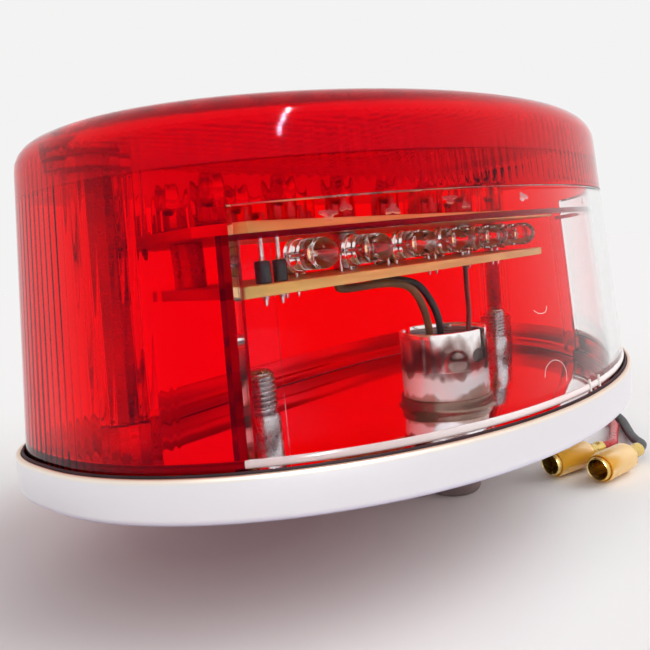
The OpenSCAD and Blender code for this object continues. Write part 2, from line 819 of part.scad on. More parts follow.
// Rubber boot round the socket under the pan, with a tail and an outlet for the leads
module socket_boot() {
    color("black")
    translate([0, socket_y, 0])
        difference() {
            union() {
                rotate_extrude($fn = 64)
                    polygon([[0, 0], [boot_tail_r - 0.8, 0], [boot_tail_r, 0.8], [boot_tail_r, boot_tail_h],
                        [boot_r, socket_z - 0.6], [boot_r, floor_z - 2], [boot_r + 1.5, floor_z - 1.5],
                        [boot_r + 1.5, floor_z], [0, floor_z]]);
                translate([0, 0, outlet_z])
                    rotate([0, 90, 45])
                        cylinder(r = outlet_r, h = outlet_reach, $fn = 48);
            }
            translate([0, 0, socket_z])
                cylinder(r = socket_r, h = socket_drop + 1, $fn = 64);
        }
}

// Wires between the lower board and the socket plug
module board_wire(route, d) {
    last = len(route) - 1;
    tube_along(smooth_route([for (i = [0 : last])
        i == 0 ? [route[i].x, route[i].y, lower_board_z] :
        i == last ? [route[i].x, route[i].y, plug_top] : route[i]], 2), d, 8, [[0, 0, -1], [0, 0, -1]]);
}

module black_board_wire() {
    color("black")
        board_wire(black_wire_route, wire_d);
}

module brown_board_wire() {
    color("olive")
        board_wire(brown_wire_route, wire_d);
}

module red_board_wire() {
    color("darkred")
        board_wire(red_wire_route, wire_d * 0.7);
}

// Leads outside the lamp, from the boot to their receptacles
function outlet_point(side) =
    [0, socket_y, outlet_z] + outlet_reach * outlet_way + side * lead_spread * [cos(45), -sin(45), 0];
module lead(route, side, end, angle) {
    last = len(route) - 1;
    held = [for (i = [0 : last])
        i == 0 ? outlet_point(side) : i == last ? [end.x, end.y, receptacle_z] : route[i]];
    tube_along(smooth_route(held, 2), lead_d, 8, [outlet_way, [cos(angle), sin(angle), 0]]);
}

module red_lead() {
    color("red")
        lead(red_route, 1, red_end, red_angle);
}

module black_lead() {
    color("black")
        lead(black_route, -1, black_end, black_angle);
}

// Turns a piece that points along +X to the place of a lead's end
module at_lead_end(end, angle) {
    translate([end.x, end.y, receptacle_z])
        rotate([0, 0, angle])
            rotate([0, 90, 0])
                children();
}

// Round receptacle with its crimped tail, from the lead's end forward
module receptacle() {
    color("gold")
    difference() {
        rotate_extrude($fn = 32)
            polygon([[0, 0], [1.35, 0], [1.35, crimp_l - 1], [receptacle_r, crimp_l],
                [receptacle_r, crimp_l + receptacle_l], [0, crimp_l + receptacle_l]]);
        translate([0, 0, crimp_l + 1])
            cylinder(d = receptacle_bore_d, h = receptacle_l, $fn = 48);
    }
}

module sleeve() {
    color("moccasin", 0.5)
        ring_solid(receptacle_r + fit_gap + sleeve_t, receptacle_r + fit_gap, crimp_l, crimp_l + sleeve_l);
}

module red_receptacle() {
    at_lead_end(red_end, red_angle)
        receptacle();
}

module black_receptacle() {
    at_lead_end(black_end, black_angle)
        receptacle();
}

module red_sleeve() {
    at_lead_end(red_end, red_angle)
        sleeve();
}

module black_sleeve() {
    at_lead_end(black_end, black_angle)
        sleeve();
}

base_pan();
lens_gasket();
screw_pillars();
threaded_posts();
mount_studs();
stud_dampers();
red_lens();
plate_window();
lens_screw_left();
lens_screw_right();
screw_seals();
upper_board();
lower_board();
board_spacers();
board_screws();
plate_leds();
plate_led_leads();
tail_leds();
brake_leds();
diodes();
diode_leads();
resistors();
resistor_leads();
solder_joints();
socket_shell();
socket_base();
contact_spring();
contact_carrier();
contacts();
socket_plug();
plug_pads();
socket_boot();
black_board_wire();
brown_board_wire();
red_board_wire();
red_lead();
black_lead();
red_receptacle();
black_receptacle();
red_sleeve();
black_sleeve();
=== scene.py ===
import json
import random
from math import asin, cos, degrees, radians, remainder, sin, sqrt, tau

import bpy
import numpy as np
from mathutils import Matrix, Vector


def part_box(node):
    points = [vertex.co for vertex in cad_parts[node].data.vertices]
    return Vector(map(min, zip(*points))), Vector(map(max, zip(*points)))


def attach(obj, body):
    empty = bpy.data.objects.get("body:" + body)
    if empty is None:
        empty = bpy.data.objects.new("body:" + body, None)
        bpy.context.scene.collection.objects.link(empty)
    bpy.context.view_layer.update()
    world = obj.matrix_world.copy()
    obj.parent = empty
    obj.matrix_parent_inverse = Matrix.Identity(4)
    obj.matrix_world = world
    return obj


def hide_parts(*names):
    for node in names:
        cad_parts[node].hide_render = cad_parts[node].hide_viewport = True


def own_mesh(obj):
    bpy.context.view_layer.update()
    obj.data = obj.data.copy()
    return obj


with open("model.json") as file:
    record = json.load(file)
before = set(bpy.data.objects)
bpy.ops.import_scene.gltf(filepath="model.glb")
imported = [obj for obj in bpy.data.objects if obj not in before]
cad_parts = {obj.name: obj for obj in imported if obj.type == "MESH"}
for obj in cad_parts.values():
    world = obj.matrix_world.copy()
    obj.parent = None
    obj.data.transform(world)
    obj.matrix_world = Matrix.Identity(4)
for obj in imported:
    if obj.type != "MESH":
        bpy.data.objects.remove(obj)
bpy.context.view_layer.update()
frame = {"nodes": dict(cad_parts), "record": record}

scene = bpy.context.scene
MM = 0.001
rng = random.Random(11)

# Sizes of the lamp in millimetres, as in the part's source
LAMP_W, NEAR_R, FAR_R, FAR_POWER, EGG = 137.5, 49.2, 32.8, 3.0, 0.09
PLAN_Y = (NEAR_R - FAR_R) / 2
RIM_Z = 16.0
RIM_TOP, FLOOR_Z, FLOOR_TOP = RIM_Z + 6.4, RIM_Z + 0.7, RIM_Z + 1.5
GASKET_Z, LENS_Z, LENS_TOP = RIM_Z + 0.8, RIM_Z + 2.5, RIM_Z + 53.9
WINDOW_TOP, RIB_Z, RIB_T = RIM_Z + 39.7, RIM_Z + 35.2, 0.8
LENS_INSET, LENS_WALL, LENS_DRAFT, LENS_EDGE_R = 1.4, 2.6, 3.8, 5.3
WINDOW_T0, WINDOW_T1 = 213.0, 327.0
SCREW_X, SCREW_Y, SCREW_HEAD_Z, SEAL_T = 55.75, 8.2, RIM_Z + 50.1, 0.8
TUBE_R, TUBE_Z, HEAD_ROOM_R = 4.2, RIM_Z + 10.8, 4.3
BOSS_X, BOSS_Y, BOSS_R = 47.25, 18.0, 2.6
POST_X, POST_Y, STUD_X, STUD_Y = 37.9, -1.7, 25.0, 26.1
SOCKET_Y, SOCKET_R, SOCKET_BORE, SOCKET_TOP = -11.0, 8.25, 7.6, RIM_Z + 16.1
LOWER_Z, LOWER_TOP = RIM_Z + 27.5, RIM_Z + 29.1
UPPER_Z, UPPER_TOP = RIM_Z + 36.1, RIM_Z + 37.7
LED_R, LED_L, LED_FLANGE_R = 2.5, 8.6, 2.9
SLOT_ANGLES, CONTACT_TRAVEL = (261, 81), 3.0


def camera():
    """Camera of the photograph: place, turn and lens were fitted to the lamp's outline."""
    yaw, pitch, roll = 0.776, 0.119, -0.098
    focal_px, photo_px, sensor_mm = 602.4, 650.0, 36.0
    fwd = Vector((sin(yaw) * cos(pitch), cos(yaw) * cos(pitch), -sin(pitch)))
    right = Vector((cos(yaw), -sin(yaw), 0.0))
    up = right.cross(fwd)
    x_way = right * cos(roll) + up * sin(roll)
    y_way = -right * sin(roll) + up * cos(roll)
    turn = Matrix((x_way, y_way, -fwd)).transposed().to_4x4()
    data = bpy.data.cameras.new("photo_camera")
    data.sensor_width = sensor_mm
    data.lens = focal_px * sensor_mm / photo_px
    data.clip_start = 0.005
    cam = bpy.data.objects.new("photo_camera", data)
    cam.matrix_world = Matrix.Translation((-0.0968, -0.07775, 0.03266 + RIM_Z * MM)) @ turn
    scene.collection.objects.link(cam)
    scene.camera = cam


camera()

# Materials by name; most are named as the record's slot that they finish
MATERIALS = {}


class Tree:
    """Shader nodes of a material or the world."""

    def __init__(self, owner):
        owner.use_nodes = True
        self.nodes, self.links = owner.node_tree.nodes, owner.node_tree.links

    def set(self, node, **inputs):
        """Link the inputs that are given an output, and set the others to their value."""
        for key, value in inputs.items():
            socket = node.inputs[key.replace("_", " ")]
            if isinstance(value, bpy.types.NodeSocket):
                self.links.new(value, socket)
            else:
                socket.default_value = value

    def add(self, kind, **inputs):
        node = self.nodes.new("ShaderNode" + kind)
        self.set(node, **inputs)
        return node

    def joined(self, operation, first, second):
        node = self.add("Math")
        node.operation = operation
        self.links.new(first, node.inputs[0])
        self.links.new(second, node.inputs[1])
        return node.outputs["Value"]

    def space(self, **mapping):
        coords = self.add("TexCoord").outputs["Object"]
        return self.add("Mapping", Vector=coords, **mapping).outputs["Vector"]

    def noise(self, space, scale, detail=4.0):
        return self.add("TexNoise", Vector=space, Scale=scale, Detail=detail).outputs["Fac"]

    def ramp(self, fac, stops):
        node = self.add("ValToRGB", Fac=fac)
        elements = node.color_ramp.elements
        while len(elements) < len(stops):
            elements.new(0.5)
        for element, (place, color) in zip(elements, stops):
            element.position = place
            element.color = (*color, 1.0)
        return node.outputs["Color"]

    def ranged(self, fac, low, high, start=0.0, end=1.0):
        return self.add("MapRange", Value=fac, From_Min=start, From_Max=end, To_Min=low,
                        To_Max=high).outputs["Result"]

    def height(self, low, high):
        """Height over the lamp as 0 to 1 between two heights in millimetres."""
        split = self.add("SeparateXYZ", Vector=self.add("TexCoord").outputs["Object"])
        return self.ranged(split.outputs["Z"], 0.0, 1.0, low * MM, high * MM)


class Finish(Tree):
    """New material; values are inputs of its shader."""

    def __init__(self, name, **values):
        self.material = MATERIALS[name] = bpy.data.materials.new(name)
        super().__init__(self.material)
        self.shader = self.nodes["Principled BSDF"]
        self.set(self.shader, **values)

    def surface(self, color, rough, relief, depth, strength):
        bump = self.add("Bump", Strength=strength, Distance=depth, Height=relief)
        self.set(self.shader, Base_Color=color, Roughness=rough, Normal=bump.outputs["Normal"])


def solid(name, low, high, rough=(0.3, 0.5), scale=900.0, stretch=(1, 1, 1), depth=2e-5,
          **values):
    """Material whose colour, roughness and relief vary a little over the surface."""
    mat = Finish(name, **values)
    space = mat.space(Scale=stretch)
    fine = mat.noise(space, scale)
    broad = mat.noise(space, scale * 0.12, 3.0)
    mat.surface(mat.ramp(broad, [(0.35, low), (0.65, high)]), mat.ranged(fine, *rough), fine,
                depth, 0.6)


def clear(name, color, rough=(0.0, 0.03), ior=1.49, depth=4e-6, sheen=(1, 1, 1), body=0.0,
          absorb=None):
    """See-through plastic with faint flow marks, and a tint through its depth (colour, density)."""
    mat = Finish(name, Transmission_Weight=1.0 - body, IOR=ior, Specular_Tint=(*sheen, 1.0))
    space = mat.space(Scale=(1, 1, 1))
    flow = mat.noise(space, 60.0, 2.0)
    mat.surface((*color, 1.0), mat.ranged(mat.noise(space, 700.0), *rough), flow, depth, 1.0)
    if absorb:
        volume = mat.add("VolumeAbsorption", Color=(*absorb[0], 1.0), Density=absorb[1])
        mat.set(mat.nodes["Material Output"], Volume=volume.outputs["Volume"])


def chrome_rim():
    """Chromed rim under soft light: pale, with a painted warm reflection at the rolled top and a
    painted violet reflection at the foot.
    """
    mat = Finish("chrome_rim", Metallic=0.75)
    # Painted reflections by height: violet at the foot, warm cream at the rolled top.
    stops = [(0.0, (0.58, 0.54, 0.78)), (0.06, (0.8, 0.78, 0.9)), (0.16, (0.88, 0.86, 0.9)),
             (0.5, (0.86, 0.84, 0.87)), (0.88, (0.84, 0.82, 0.85)), (0.95, (0.93, 0.83, 0.72)),
             (1.0, (0.8, 0.56, 0.44))]
    space = mat.space(Scale=(1, 1, 6))
    mat.surface(mat.ramp(mat.height(RIM_Z, RIM_TOP), stops),
                mat.ranged(mat.noise(space, 500.0), 0.28, 0.42),
                mat.noise(space, 90.0, 2.0), 1e-5, 0.5)


def nickel_painted_light():
    """Socket: a painted highlight, white, on the lower half; painted shade, brown-grey, above it;
    and a painted highlight again at the rim.
    """
    mat = Finish("nickel_painted_light")
    streaks = mat.noise(mat.space(Scale=(1, 1, 0.6)), 230.0, 2.0)
    height = mat.height(FLOOR_TOP, SOCKET_TOP)
    mat.set(mat.shader, Metallic=mat.ranged(height, 0.45, 0.9, 0.42, 0.56))
    ragged = mat.joined("ADD", height, mat.ranged(streaks, -0.15, 0.15, 0.3, 0.7))
    # Painted highlight and shade by height, made ragged by streaks: brown at the foot, white up to
    # the middle, dark brown above it, white again at the rim.
    stops = [(0.0, (0.4, 0.26, 0.2)), (0.17, (0.5, 0.36, 0.32)), (0.24, (0.97, 0.95, 0.98)),
             (0.5, (1.0, 0.98, 1.0)), (0.56, (0.36, 0.24, 0.22)), (0.72, (0.2, 0.11, 0.1)),
             (0.84, (0.6, 0.5, 0.48)), (0.92, (1.0, 0.98, 0.98))]
    mat.surface(mat.ramp(ragged, stops), mat.ranged(streaks, 0.05, 0.2), streaks, 5e-5, 0.8)


solid("chrome_sheet", (0.86, 0.84, 0.86), (0.92, 0.91, 0.92), (0.04, 0.08), 500.0,
      depth=2e-6, Metallic=1.0)
chrome_rim()
nickel_painted_light()
solid("dull_nickel", (0.2, 0.12, 0.09), (0.4, 0.27, 0.22), (0.12, 0.3), 500.0, Metallic=0.8)
solid("bright_nickel", (0.74, 0.7, 0.69), (0.9, 0.86, 0.84), (0.07, 0.2), 420.0, depth=1e-5,
      Metallic=1.0)
MATERIALS["bright_socket"] = MATERIALS["bright_nickel"]
solid("zinc_steel", (0.46, 0.41, 0.43), (0.7, 0.64, 0.66), (0.2, 0.36), depth=1e-5,
      Metallic=1.0)
solid("tinned_wire", (0.7, 0.68, 0.68), (0.9, 0.88, 0.86), (0.12, 0.26), 1200.0, Metallic=1.0)
solid("solder", (0.65, 0.63, 0.64), (0.88, 0.86, 0.86), (0.1, 0.3), 1600.0, Metallic=1.0)
solid("spring_steel", (0.35, 0.35, 0.36), (0.5, 0.5, 0.51), (0.2, 0.35), Metallic=1.0)
solid("brass", (0.76, 0.5, 0.14), (0.93, 0.72, 0.27), (0.18, 0.34), 800.0, Metallic=1.0)
# The chip's faint emission is a painted glint in the cup; the LEDs are unlit.
solid("chip_gold", (0.98, 0.7, 0.3), (1.0, 0.86, 0.55), (0.2, 0.3), 2500.0, Metallic=0.2,
      Emission_Color=(1.0, 0.7, 0.35, 1), Emission_Strength=0.5)
solid("led_frame", (0.7, 0.64, 0.62), (0.98, 0.95, 0.93), (0.15, 0.3), 1500.0, Metallic=0.85)
solid("black_rubber", (0.022, 0.007, 0.011), (0.05, 0.016, 0.024), (0.5, 0.7), 1500.0,
      depth=3e-5, Specular_IOR_Level=0.25)
solid("gasket_band", (0.2, 0.11, 0.12), (0.34, 0.22, 0.22), (0.25, 0.4))
# Painted shade: the boot is lightened from black rubber to the brown-grey of the floor's shadow
# around it.
solid("boot_painted_shade", (0.2, 0.145, 0.14), (0.3, 0.23, 0.22), (0.5, 0.7), 1200.0, depth=3e-5)
solid("red_seal", (0.09, 0.008, 0.012), (0.16, 0.012, 0.02), (0.5, 0.7), 1500.0, depth=3e-5)
solid("board", (0.66, 0.38, 0.1), (0.82, 0.54, 0.18), (0.3, 0.48), 420.0, (1, 1, 9))
solid("insulator", (0.1, 0.045, 0.02), (0.19, 0.09, 0.04), (0.35, 0.55), 700.0)
solid("black_plastic", (0.012, 0.012, 0.014), (0.028, 0.028, 0.03), (0.25, 0.4), 1500.0)
solid("plug_black", (0.05, 0.035, 0.035), (0.1, 0.07, 0.065), (0.35, 0.6), 1200.0)
solid("resistor_body", (0.45, 0.33, 0.17), (0.6, 0.46, 0.27), (0.25, 0.4))
solid("wire_black", (0.01, 0.006, 0.006), (0.025, 0.018, 0.018), (0.35, 0.5), 1500.0)
solid("wire_brown", (0.09, 0.03, 0.006), (0.16, 0.06, 0.01), (0.35, 0.5), 1500.0)
solid("wire_dark_red", (0.1, 0.006, 0.008), (0.17, 0.01, 0.012), (0.25, 0.42), 1500.0)
solid("lead_red", (0.62, 0.02, 0.03), (0.82, 0.07, 0.08), (0.22, 0.36), 1500.0,
      Transmission_Weight=0.3)
solid("lead_black", (0.02, 0.02, 0.023), (0.045, 0.045, 0.05), (0.4, 0.55), 1500.0)
RED_DEPTH = ((0.995, 0.0, 0.0), 1500.0)
SOFT_SHEEN = (0.06, 0.045, 0.09)
clear("red_plastic", (1.0, 0.002, 0.012), sheen=(0.08, 0.02, 0.15), absorb=RED_DEPTH)
clear("red_plastic_edge", (0.96, 0.004, 0.03), (0.02, 0.1), sheen=(0.07, 0.05, 0.08), body=0.2,
      absorb=RED_DEPTH)
solid("red_skirt", (0.9, 0.002, 0.008), (1.0, 0.006, 0.016), (0.16, 0.28), 300.0, Metallic=0.9)
clear("frame_red", (0.34, 0.0, 0.008), (0.04, 0.1), sheen=SOFT_SHEEN, body=0.1)
clear("clear_plastic", (1.0, 1.0, 1.0), ior=1.36, sheen=SOFT_SHEEN)
# Painted highlight: the pale bead stands for the bright refraction at the clear window's foot.
solid("foot_bead", (0.95, 0.72, 0.72), (1.0, 0.93, 0.92), (0.08, 0.2), 200.0,
      Transmission_Weight=0.15)
clear("dry_glue", (1.0, 0.9, 0.9), (0.15, 0.3), 1.15, 4e-5, (0.8, 0.7, 0.7), 0.03)
solid("pale_hair", (0.85, 0.8, 0.76), (0.95, 0.9, 0.86), scale=1400.0)
clear("clear_resin", (0.97, 0.91, 0.9), (0.0, 0.04), 1.46)
clear("red_resin", (0.95, 0.06, 0.07), (0.1, 0.25), 1.52)
clear("sleeve_amber", (0.93, 0.5, 0.045), (0.15, 0.3), 1.3, sheen=(0.4, 0.4, 0.4), body=0.7)

# Every CAD node that stays gets the finish of its slot
slot_of = {part["node"]: part["material_slot"] for part in frame["record"]["subparts"]}
for node, obj in frame["nodes"].items():
    obj.data.materials.clear()
    obj.data.materials.append(MATERIALS[slot_of[node]])


# Mesh making, in millimetres
def new_object(name, verts, faces):
    data = bpy.data.meshes.new(name)
    data.from_pydata([tuple(v) for v in np.asarray(verts, float) * MM], [],
                     [tuple(f) for f in faces])
    obj = bpy.data.objects.new(name, data)
    scene.collection.objects.link(obj)
    return obj


def smooth_faces(data, angle):
    for face in data.polygons:
        face.use_smooth = True
    data.set_sharp_from_angle(angle=radians(angle))


def piece(name, verts, faces, slot, body, replaces=None, material=None, smooth=40):
    """Object on a body; it has the finish of its slot, or the material that is named."""
    obj = new_object(name, verts, faces)
    obj.data.validate()
    obj.data.materials.append(MATERIALS[material or slot])
    if smooth:
        smooth_faces(obj.data, smooth)
    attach(obj, body)
    if replaces:
        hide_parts(replaces)
    return obj


class Mesh:
    """Vertices and faces that grow by whole shapes."""

    def __init__(self):
        self.verts, self.faces = [], []

    def add(self, verts, faces, move=None):
        base = len(self.verts)
        self.verts += [tuple(move @ Vector(v)) if move else tuple(v) for v in verts]
        self.faces += [tuple(base + i for i in f) for f in faces]
        return self

    def turn(self, profile, move, n=48, closed=False):
        return self.add(*turned(profile, n, closed), move)

    def piece(self, name, slot, body, replaces=None, material=None, smooth=40):
        return piece(name, self.verts, self.faces, slot, body, replaces, material, smooth)


def rings_solid(rings, closed=False):
    """Faces through rings of equal count, with flat ends or joined first to last."""
    n, count = len(rings[0]), len(rings)
    verts = [tuple(p) for ring in rings for p in ring]
    faces = []
    for k in range(count if closed else count - 1):
        a, b = k * n, ((k + 1) % count) * n
        faces += [(a + i, a + (i + 1) % n, b + (i + 1) % n, b + i) for i in range(n)]
    if not closed:
        faces += [tuple(range(n - 1, -1, -1)), tuple((count - 1) * n + i for i in range(n))]
    return verts, faces


def polar(r, angle, z):
    return r * cos(angle), r * sin(angle), z


def circle(r, z, n):
    return [polar(r, tau * i / n, z) for i in range(n)]


def turned(profile, n=48, closed=False):
    """Solid turned about Z from (radius, height) points, with a cone or disc at each end."""
    rings = [circle(r, z, n) for r, z in profile if r > 0]
    verts, faces = rings_solid(rings, closed)
    if closed:
        return verts, faces
    faces = faces[:-2]
    base, top = len(verts), len(verts) - n
    verts += [(0, 0, profile[0][1]), (0, 0, profile[-1][1])]
    faces += [(base, (i + 1) % n, i) for i in range(n)]
    faces += [(base + 1, top + i, top + (i + 1) % n) for i in range(n)]
    return verts, faces


def threaded(low, thread, high, n=40):
    """Turned bar with a helical thread (z0, z1, core, crest, pitch) between two plain stretches."""
    z0, z1, core, crest, pitch = thread
    rings = [circle(r, z, n) for r, z in low]
    steps = int((z1 - z0) / pitch * 8)
    for k in range(steps + 1):
        z = z0 + (z1 - z0) * k / steps
        fade = min(1.0, k / 6, (steps - k) / 6)
        ring = []
        for i in range(n):
            turn = ((z - z0) / pitch - i / n) % 1.0
            r = core + (crest - core) * fade * min(1.0, 1.3 * (1 - abs(2 * turn - 1)))
            ring.append(polar(r, tau * i / n, z))
        rings.append(ring)
    rings += [circle(r, z, n) for r, z in high]
    return rings_solid(rings)


def box(low, high, edge):
    """Box with its upright and long edges broken by an edge width."""
    (x0, y0, z0), (x1, y1, z1) = low, high
    rings = []
    for inset, z in ((edge, z0), (0, z0 + edge), (0, z1 - edge), (edge, z1)):
        a, b, c, d, e = x0 + inset, x1 - inset, y0 + inset, y1 - inset, edge
        rings.append([(a + e, c, z), (b - e, c, z), (b, c + e, z), (b, d - e, z), (b - e, d, z),
                      (a + e, d, z), (a, d - e, z), (a, c + e, z)])
    return rings_solid(rings)


def at(x, y, z, turn=Matrix()):
    return Matrix.Translation((x, y, z)) @ turn


def rot(axis, angle):
    return Matrix.Rotation(radians(angle), 4, axis)


def spline(route, steps=8):
    """Smooth path through the route's points."""
    pts = [Vector(p) for p in route]
    out = []
    for i in range(len(pts) - 1):
        p0, p1, p2, p3 = pts[max(i - 1, 0)], pts[i], pts[i + 1], pts[min(i + 2, len(pts) - 1)]
        for s in range(steps):
            u = s / steps
            out.append(0.5 * (2 * p1 + (p2 - p0) * u + (2 * p0 - 5 * p1 + 4 * p2 - p3) * u * u
                              + (3 * p1 - p0 - 3 * p2 + p3) * u ** 3))
    out.append(pts[-1])
    return out


def tube(path, r, sides=16, first=None, last=None):
    """Round tube along a path, closed at both ends."""
    path = [Vector(p) for p in path]
    n = len(path)
    ways = [(path[min(i + 1, n - 1)] - path[max(i - 1, 0)]).normalized() for i in range(n)]
    ways[0] = Vector(first).normalized() if first else ways[0]
    ways[-1] = Vector(last).normalized() if last else ways[-1]
    side = Vector((1, 0, 0)) if abs(ways[0].z) > 0.9 else Vector((0, 0, 1))
    rings = []
    for p, way in zip(path, ways):
        side = (side - side.dot(way) * way).normalized()
        other = way.cross(side)
        angles = [tau * k / sides for k in range(sides)]
        rings.append([tuple(p + r * (cos(a) * side + sin(a) * other)) for a in angles])
    return rings_solid(rings)


# Leads outside the lamp: their routes repeat the points of the part's source
OUTLET_Z, OUTLET_REACH, LEAD_SPREAD, LEAD_R, RECEPTACLE_Z = 3.4, 13.0, 1.5, 1.0, 2.91
HALF = sqrt(0.5)
RED_END, RED_ANGLE = (27.4, -29.7), 162.0
BLACK_END, BLACK_ANGLE = (29.6, -36.2), 170.0
RED_ROUTE = [
    (12.6, -0.6, 3.2), (15.4, 1.8, 2.2), (20, 4.6, 1.2), (27, 7, 1.1), (35, 8, 1.1),
    (43, 7.2, 1.1), (50.5, 4, 1.1), (56, -1.6, 1.1), (58.4, -8.4, 1.1), (57.4, -15.2, 1.1),
    (53.8, -20.6, 1.1), (48.5, -24.7, 1.1), (42.1, -26.9, 1.4), (35.4, -29.2, 2.2),
    (30.7, -30.6, 2.8)]
BLACK_ROUTE = [
    (10.2, 1.5, 3.2), (13, 4.2, 2.2), (17.4, 7.6, 1.2), (25, 10.6, 1.1), (35, 12, 1.1),
    (45, 11.4, 1.1), (54, 8, 1.1), (60.4, 1.8, 1.1), (63.2, -6, 1.1), (62.4, -14, 1.1),
    (58.6, -20.4, 1.1), (53.6, -24.6, 1.1), (47.7, -27.8, 1.1), (42.1, -30.6, 1.4),
    (37.1, -33.3, 2.1), (33.3, -35.6, 2.7)]


def receptacle(color, end, angle):
    """Round receptacle with its crimped tail, and the soft sleeve round it."""
    place = at(*end, RECEPTACLE_Z, rot("Z", angle) @ rot("Y", 90))
    shell = [(0, 0), (1.12, 0), (1.32, 0.12), (1.35, 0.5), (1.35, 1.3), (1.16, 1.7), (1.16, 2.3),
             (1.35, 2.7), (1.35, 3.5), (1.3, 3.9), (2.1, 4.8), (2.3, 5.1), (2.3, 7.0), (2.2, 7.2),
             (2.2, 7.5), (2.3, 7.7), (2.3, 14.5), (2.22, 14.85), (2.1, 15.0), (1.97, 14.9),
             (1.95, 14.6), (1.95, 6.0), (0, 6.0)]
    sleeve = [(2.37, 5.15), (2.37, 13.9), (2.45, 14.1), (2.6, 14.1), (2.72, 13.8), (2.72, 6.1),
              (2.66, 5.6), (2.62, 5.2), (2.5, 5.0)]
    brass = Mesh().turn(shell, place).piece(
        color + "_receptacle_shell", "brass", "base", color + "_receptacle")
    soft = Mesh().turn(sleeve, place, closed=True).piece(
        color + "_receptacle_sleeve", "sleeve_amber", "base", color + "_sleeve", smooth=50)
    return [brass, soft]


def lead(color, route, side, end, angle):
    start = (OUTLET_REACH * HALF + side * LEAD_SPREAD * HALF,
             SOCKET_Y + OUTLET_REACH * HALF - side * LEAD_SPREAD * HALF, OUTLET_Z)
    path = spline([start, *route, (*end, RECEPTACLE_Z)], 4)
    way = polar(1, radians(angle), 0)
    wire = tube(path, LEAD_R, 16, (HALF, HALF, 0), way)
    obj = piece(color + "_lead_wire", *wire, "lead_" + color, "base", color + "_lead", smooth=60)
    receptacle(color, end, angle)


lead("red", RED_ROUTE, 1, RED_END, RED_ANGLE)
lead("black", BLACK_ROUTE, -1, BLACK_END, BLACK_ANGLE)


# Outline of the lamp
def outline_xy(t, inset):
    """Points of the outline drawn in by an inset; t in degrees, both may be arrays."""
    t, inset = np.broadcast_arrays(np.asarray(t, float), np.asarray(inset, float))
    s, c = np.sin(np.radians(t)), np.cos(np.radians(t))
    near = s < 0
    power = np.where(near, 2.0, FAR_POWER)
    y = (np.where(near, NEAR_R, FAR_R) - inset) * np.sign(s) * np.abs(s) ** (2 / power)
    x = (LAMP_W / 2 - inset) * np.sign(c) * np.abs(c) ** (2 / power) * (1 + EGG * y / NEAR_R)
    return np.stack([x, y + PLAN_Y], -1)


def level(run, inset, z):
    """The outline's points at one height."""
    return np.column_stack([outline_xy(run, inset), np.full(len(run), z)])


def stretch(count, t0, t1, inset=LENS_INSET):
    """Angles from t0 to t1 that are evenly spaced along the outline."""
    dense = np.linspace(t0, t1, 40001)
    steps = np.linalg.norm(np.diff(outline_xy(dense, inset), axis=0), axis=1)
    run = np.concatenate([[0], np.cumsum(steps)])
    return np.interp(np.linspace(0, run[-1], count), run, dense)


def all_round(count, inset):
    return stretch(count + 1, 0.0, 360.0, inset)[:-1]


def lean(z):
    """How far the lens's wall leans in at a height."""
    share = np.clip((z - RIM_TOP) / (LENS_TOP - LENS_EDGE_R - RIM_TOP), 0, 1)
    return float(LENS_DRAFT * share)


def chrome_pan():
    """One chromed sheet with rim, channel and raised floor, and the socket's collar."""
    run = all_round(480, 0.0)
    profile = [(30.0, FLOOR_TOP), (7.8, FLOOR_TOP), (7.45, FLOOR_TOP - 0.1),
               (7.25, FLOOR_TOP - 0.35)]
    profile += [(r, GASKET_Z + z) for r, z in (
        (7.2, 0.25), (7.05, 0), (1.6, 0), (1.1, 0.12), (0.86, 0.4), (0.8, 0.8))]
    profile += [(r, RIM_TOP - z) for r, z in (
        (0.8, 0.22), (0.72, 0.08), (0.58, 0), (0.42, 0.02), (0.22, 0.12), (0.08, 0.3), (0, 0.55))]
    profile += [(r, RIM_Z + z) for r, z in (
        (0, 1.1), (0.06, 0.7), (0.24, 0.34), (0.52, 0.09), (0.8, 0), (7.3, 0), (7.7, 0.08),
        (7.95, 0.3))]
    profile += [(8.0, FLOOR_Z - 0.15), (8.2, FLOOR_Z), (30.0, FLOOR_Z)]
    collar = [(0.05, 0), (1.1, 0), (0.75, 0.25), (0.55, 0.7), (0.5, 1.9), (0.35, 2.15),
              (0.12, 2.2), (0.05, 2.1)]
    mesh = Mesh().add(*rings_solid([level(run, inset, z) for inset, z in profile]))
    mesh.turn([(SOCKET_R + r, FLOOR_TOP + z) for r, z in collar], at(0, SOCKET_Y, 0), 96,
              closed=True)
    data = mesh.piece("pan_chrome", "chrome_sheet", "base", "base_pan", smooth=50).data
    data.materials.append(MATERIALS["chrome_rim"])
    data.materials.append(MATERIALS["dull_nickel"])
    n = len(run)
    rim_first, rim_last = 11, 21
    for face in data.polygons[rim_first * n:rim_last * n]:
        face.material_index = 1
    for face in data.polygons[(len(profile) - 1) * n + 2:]:
        face.material_index = 2


chrome_pan()


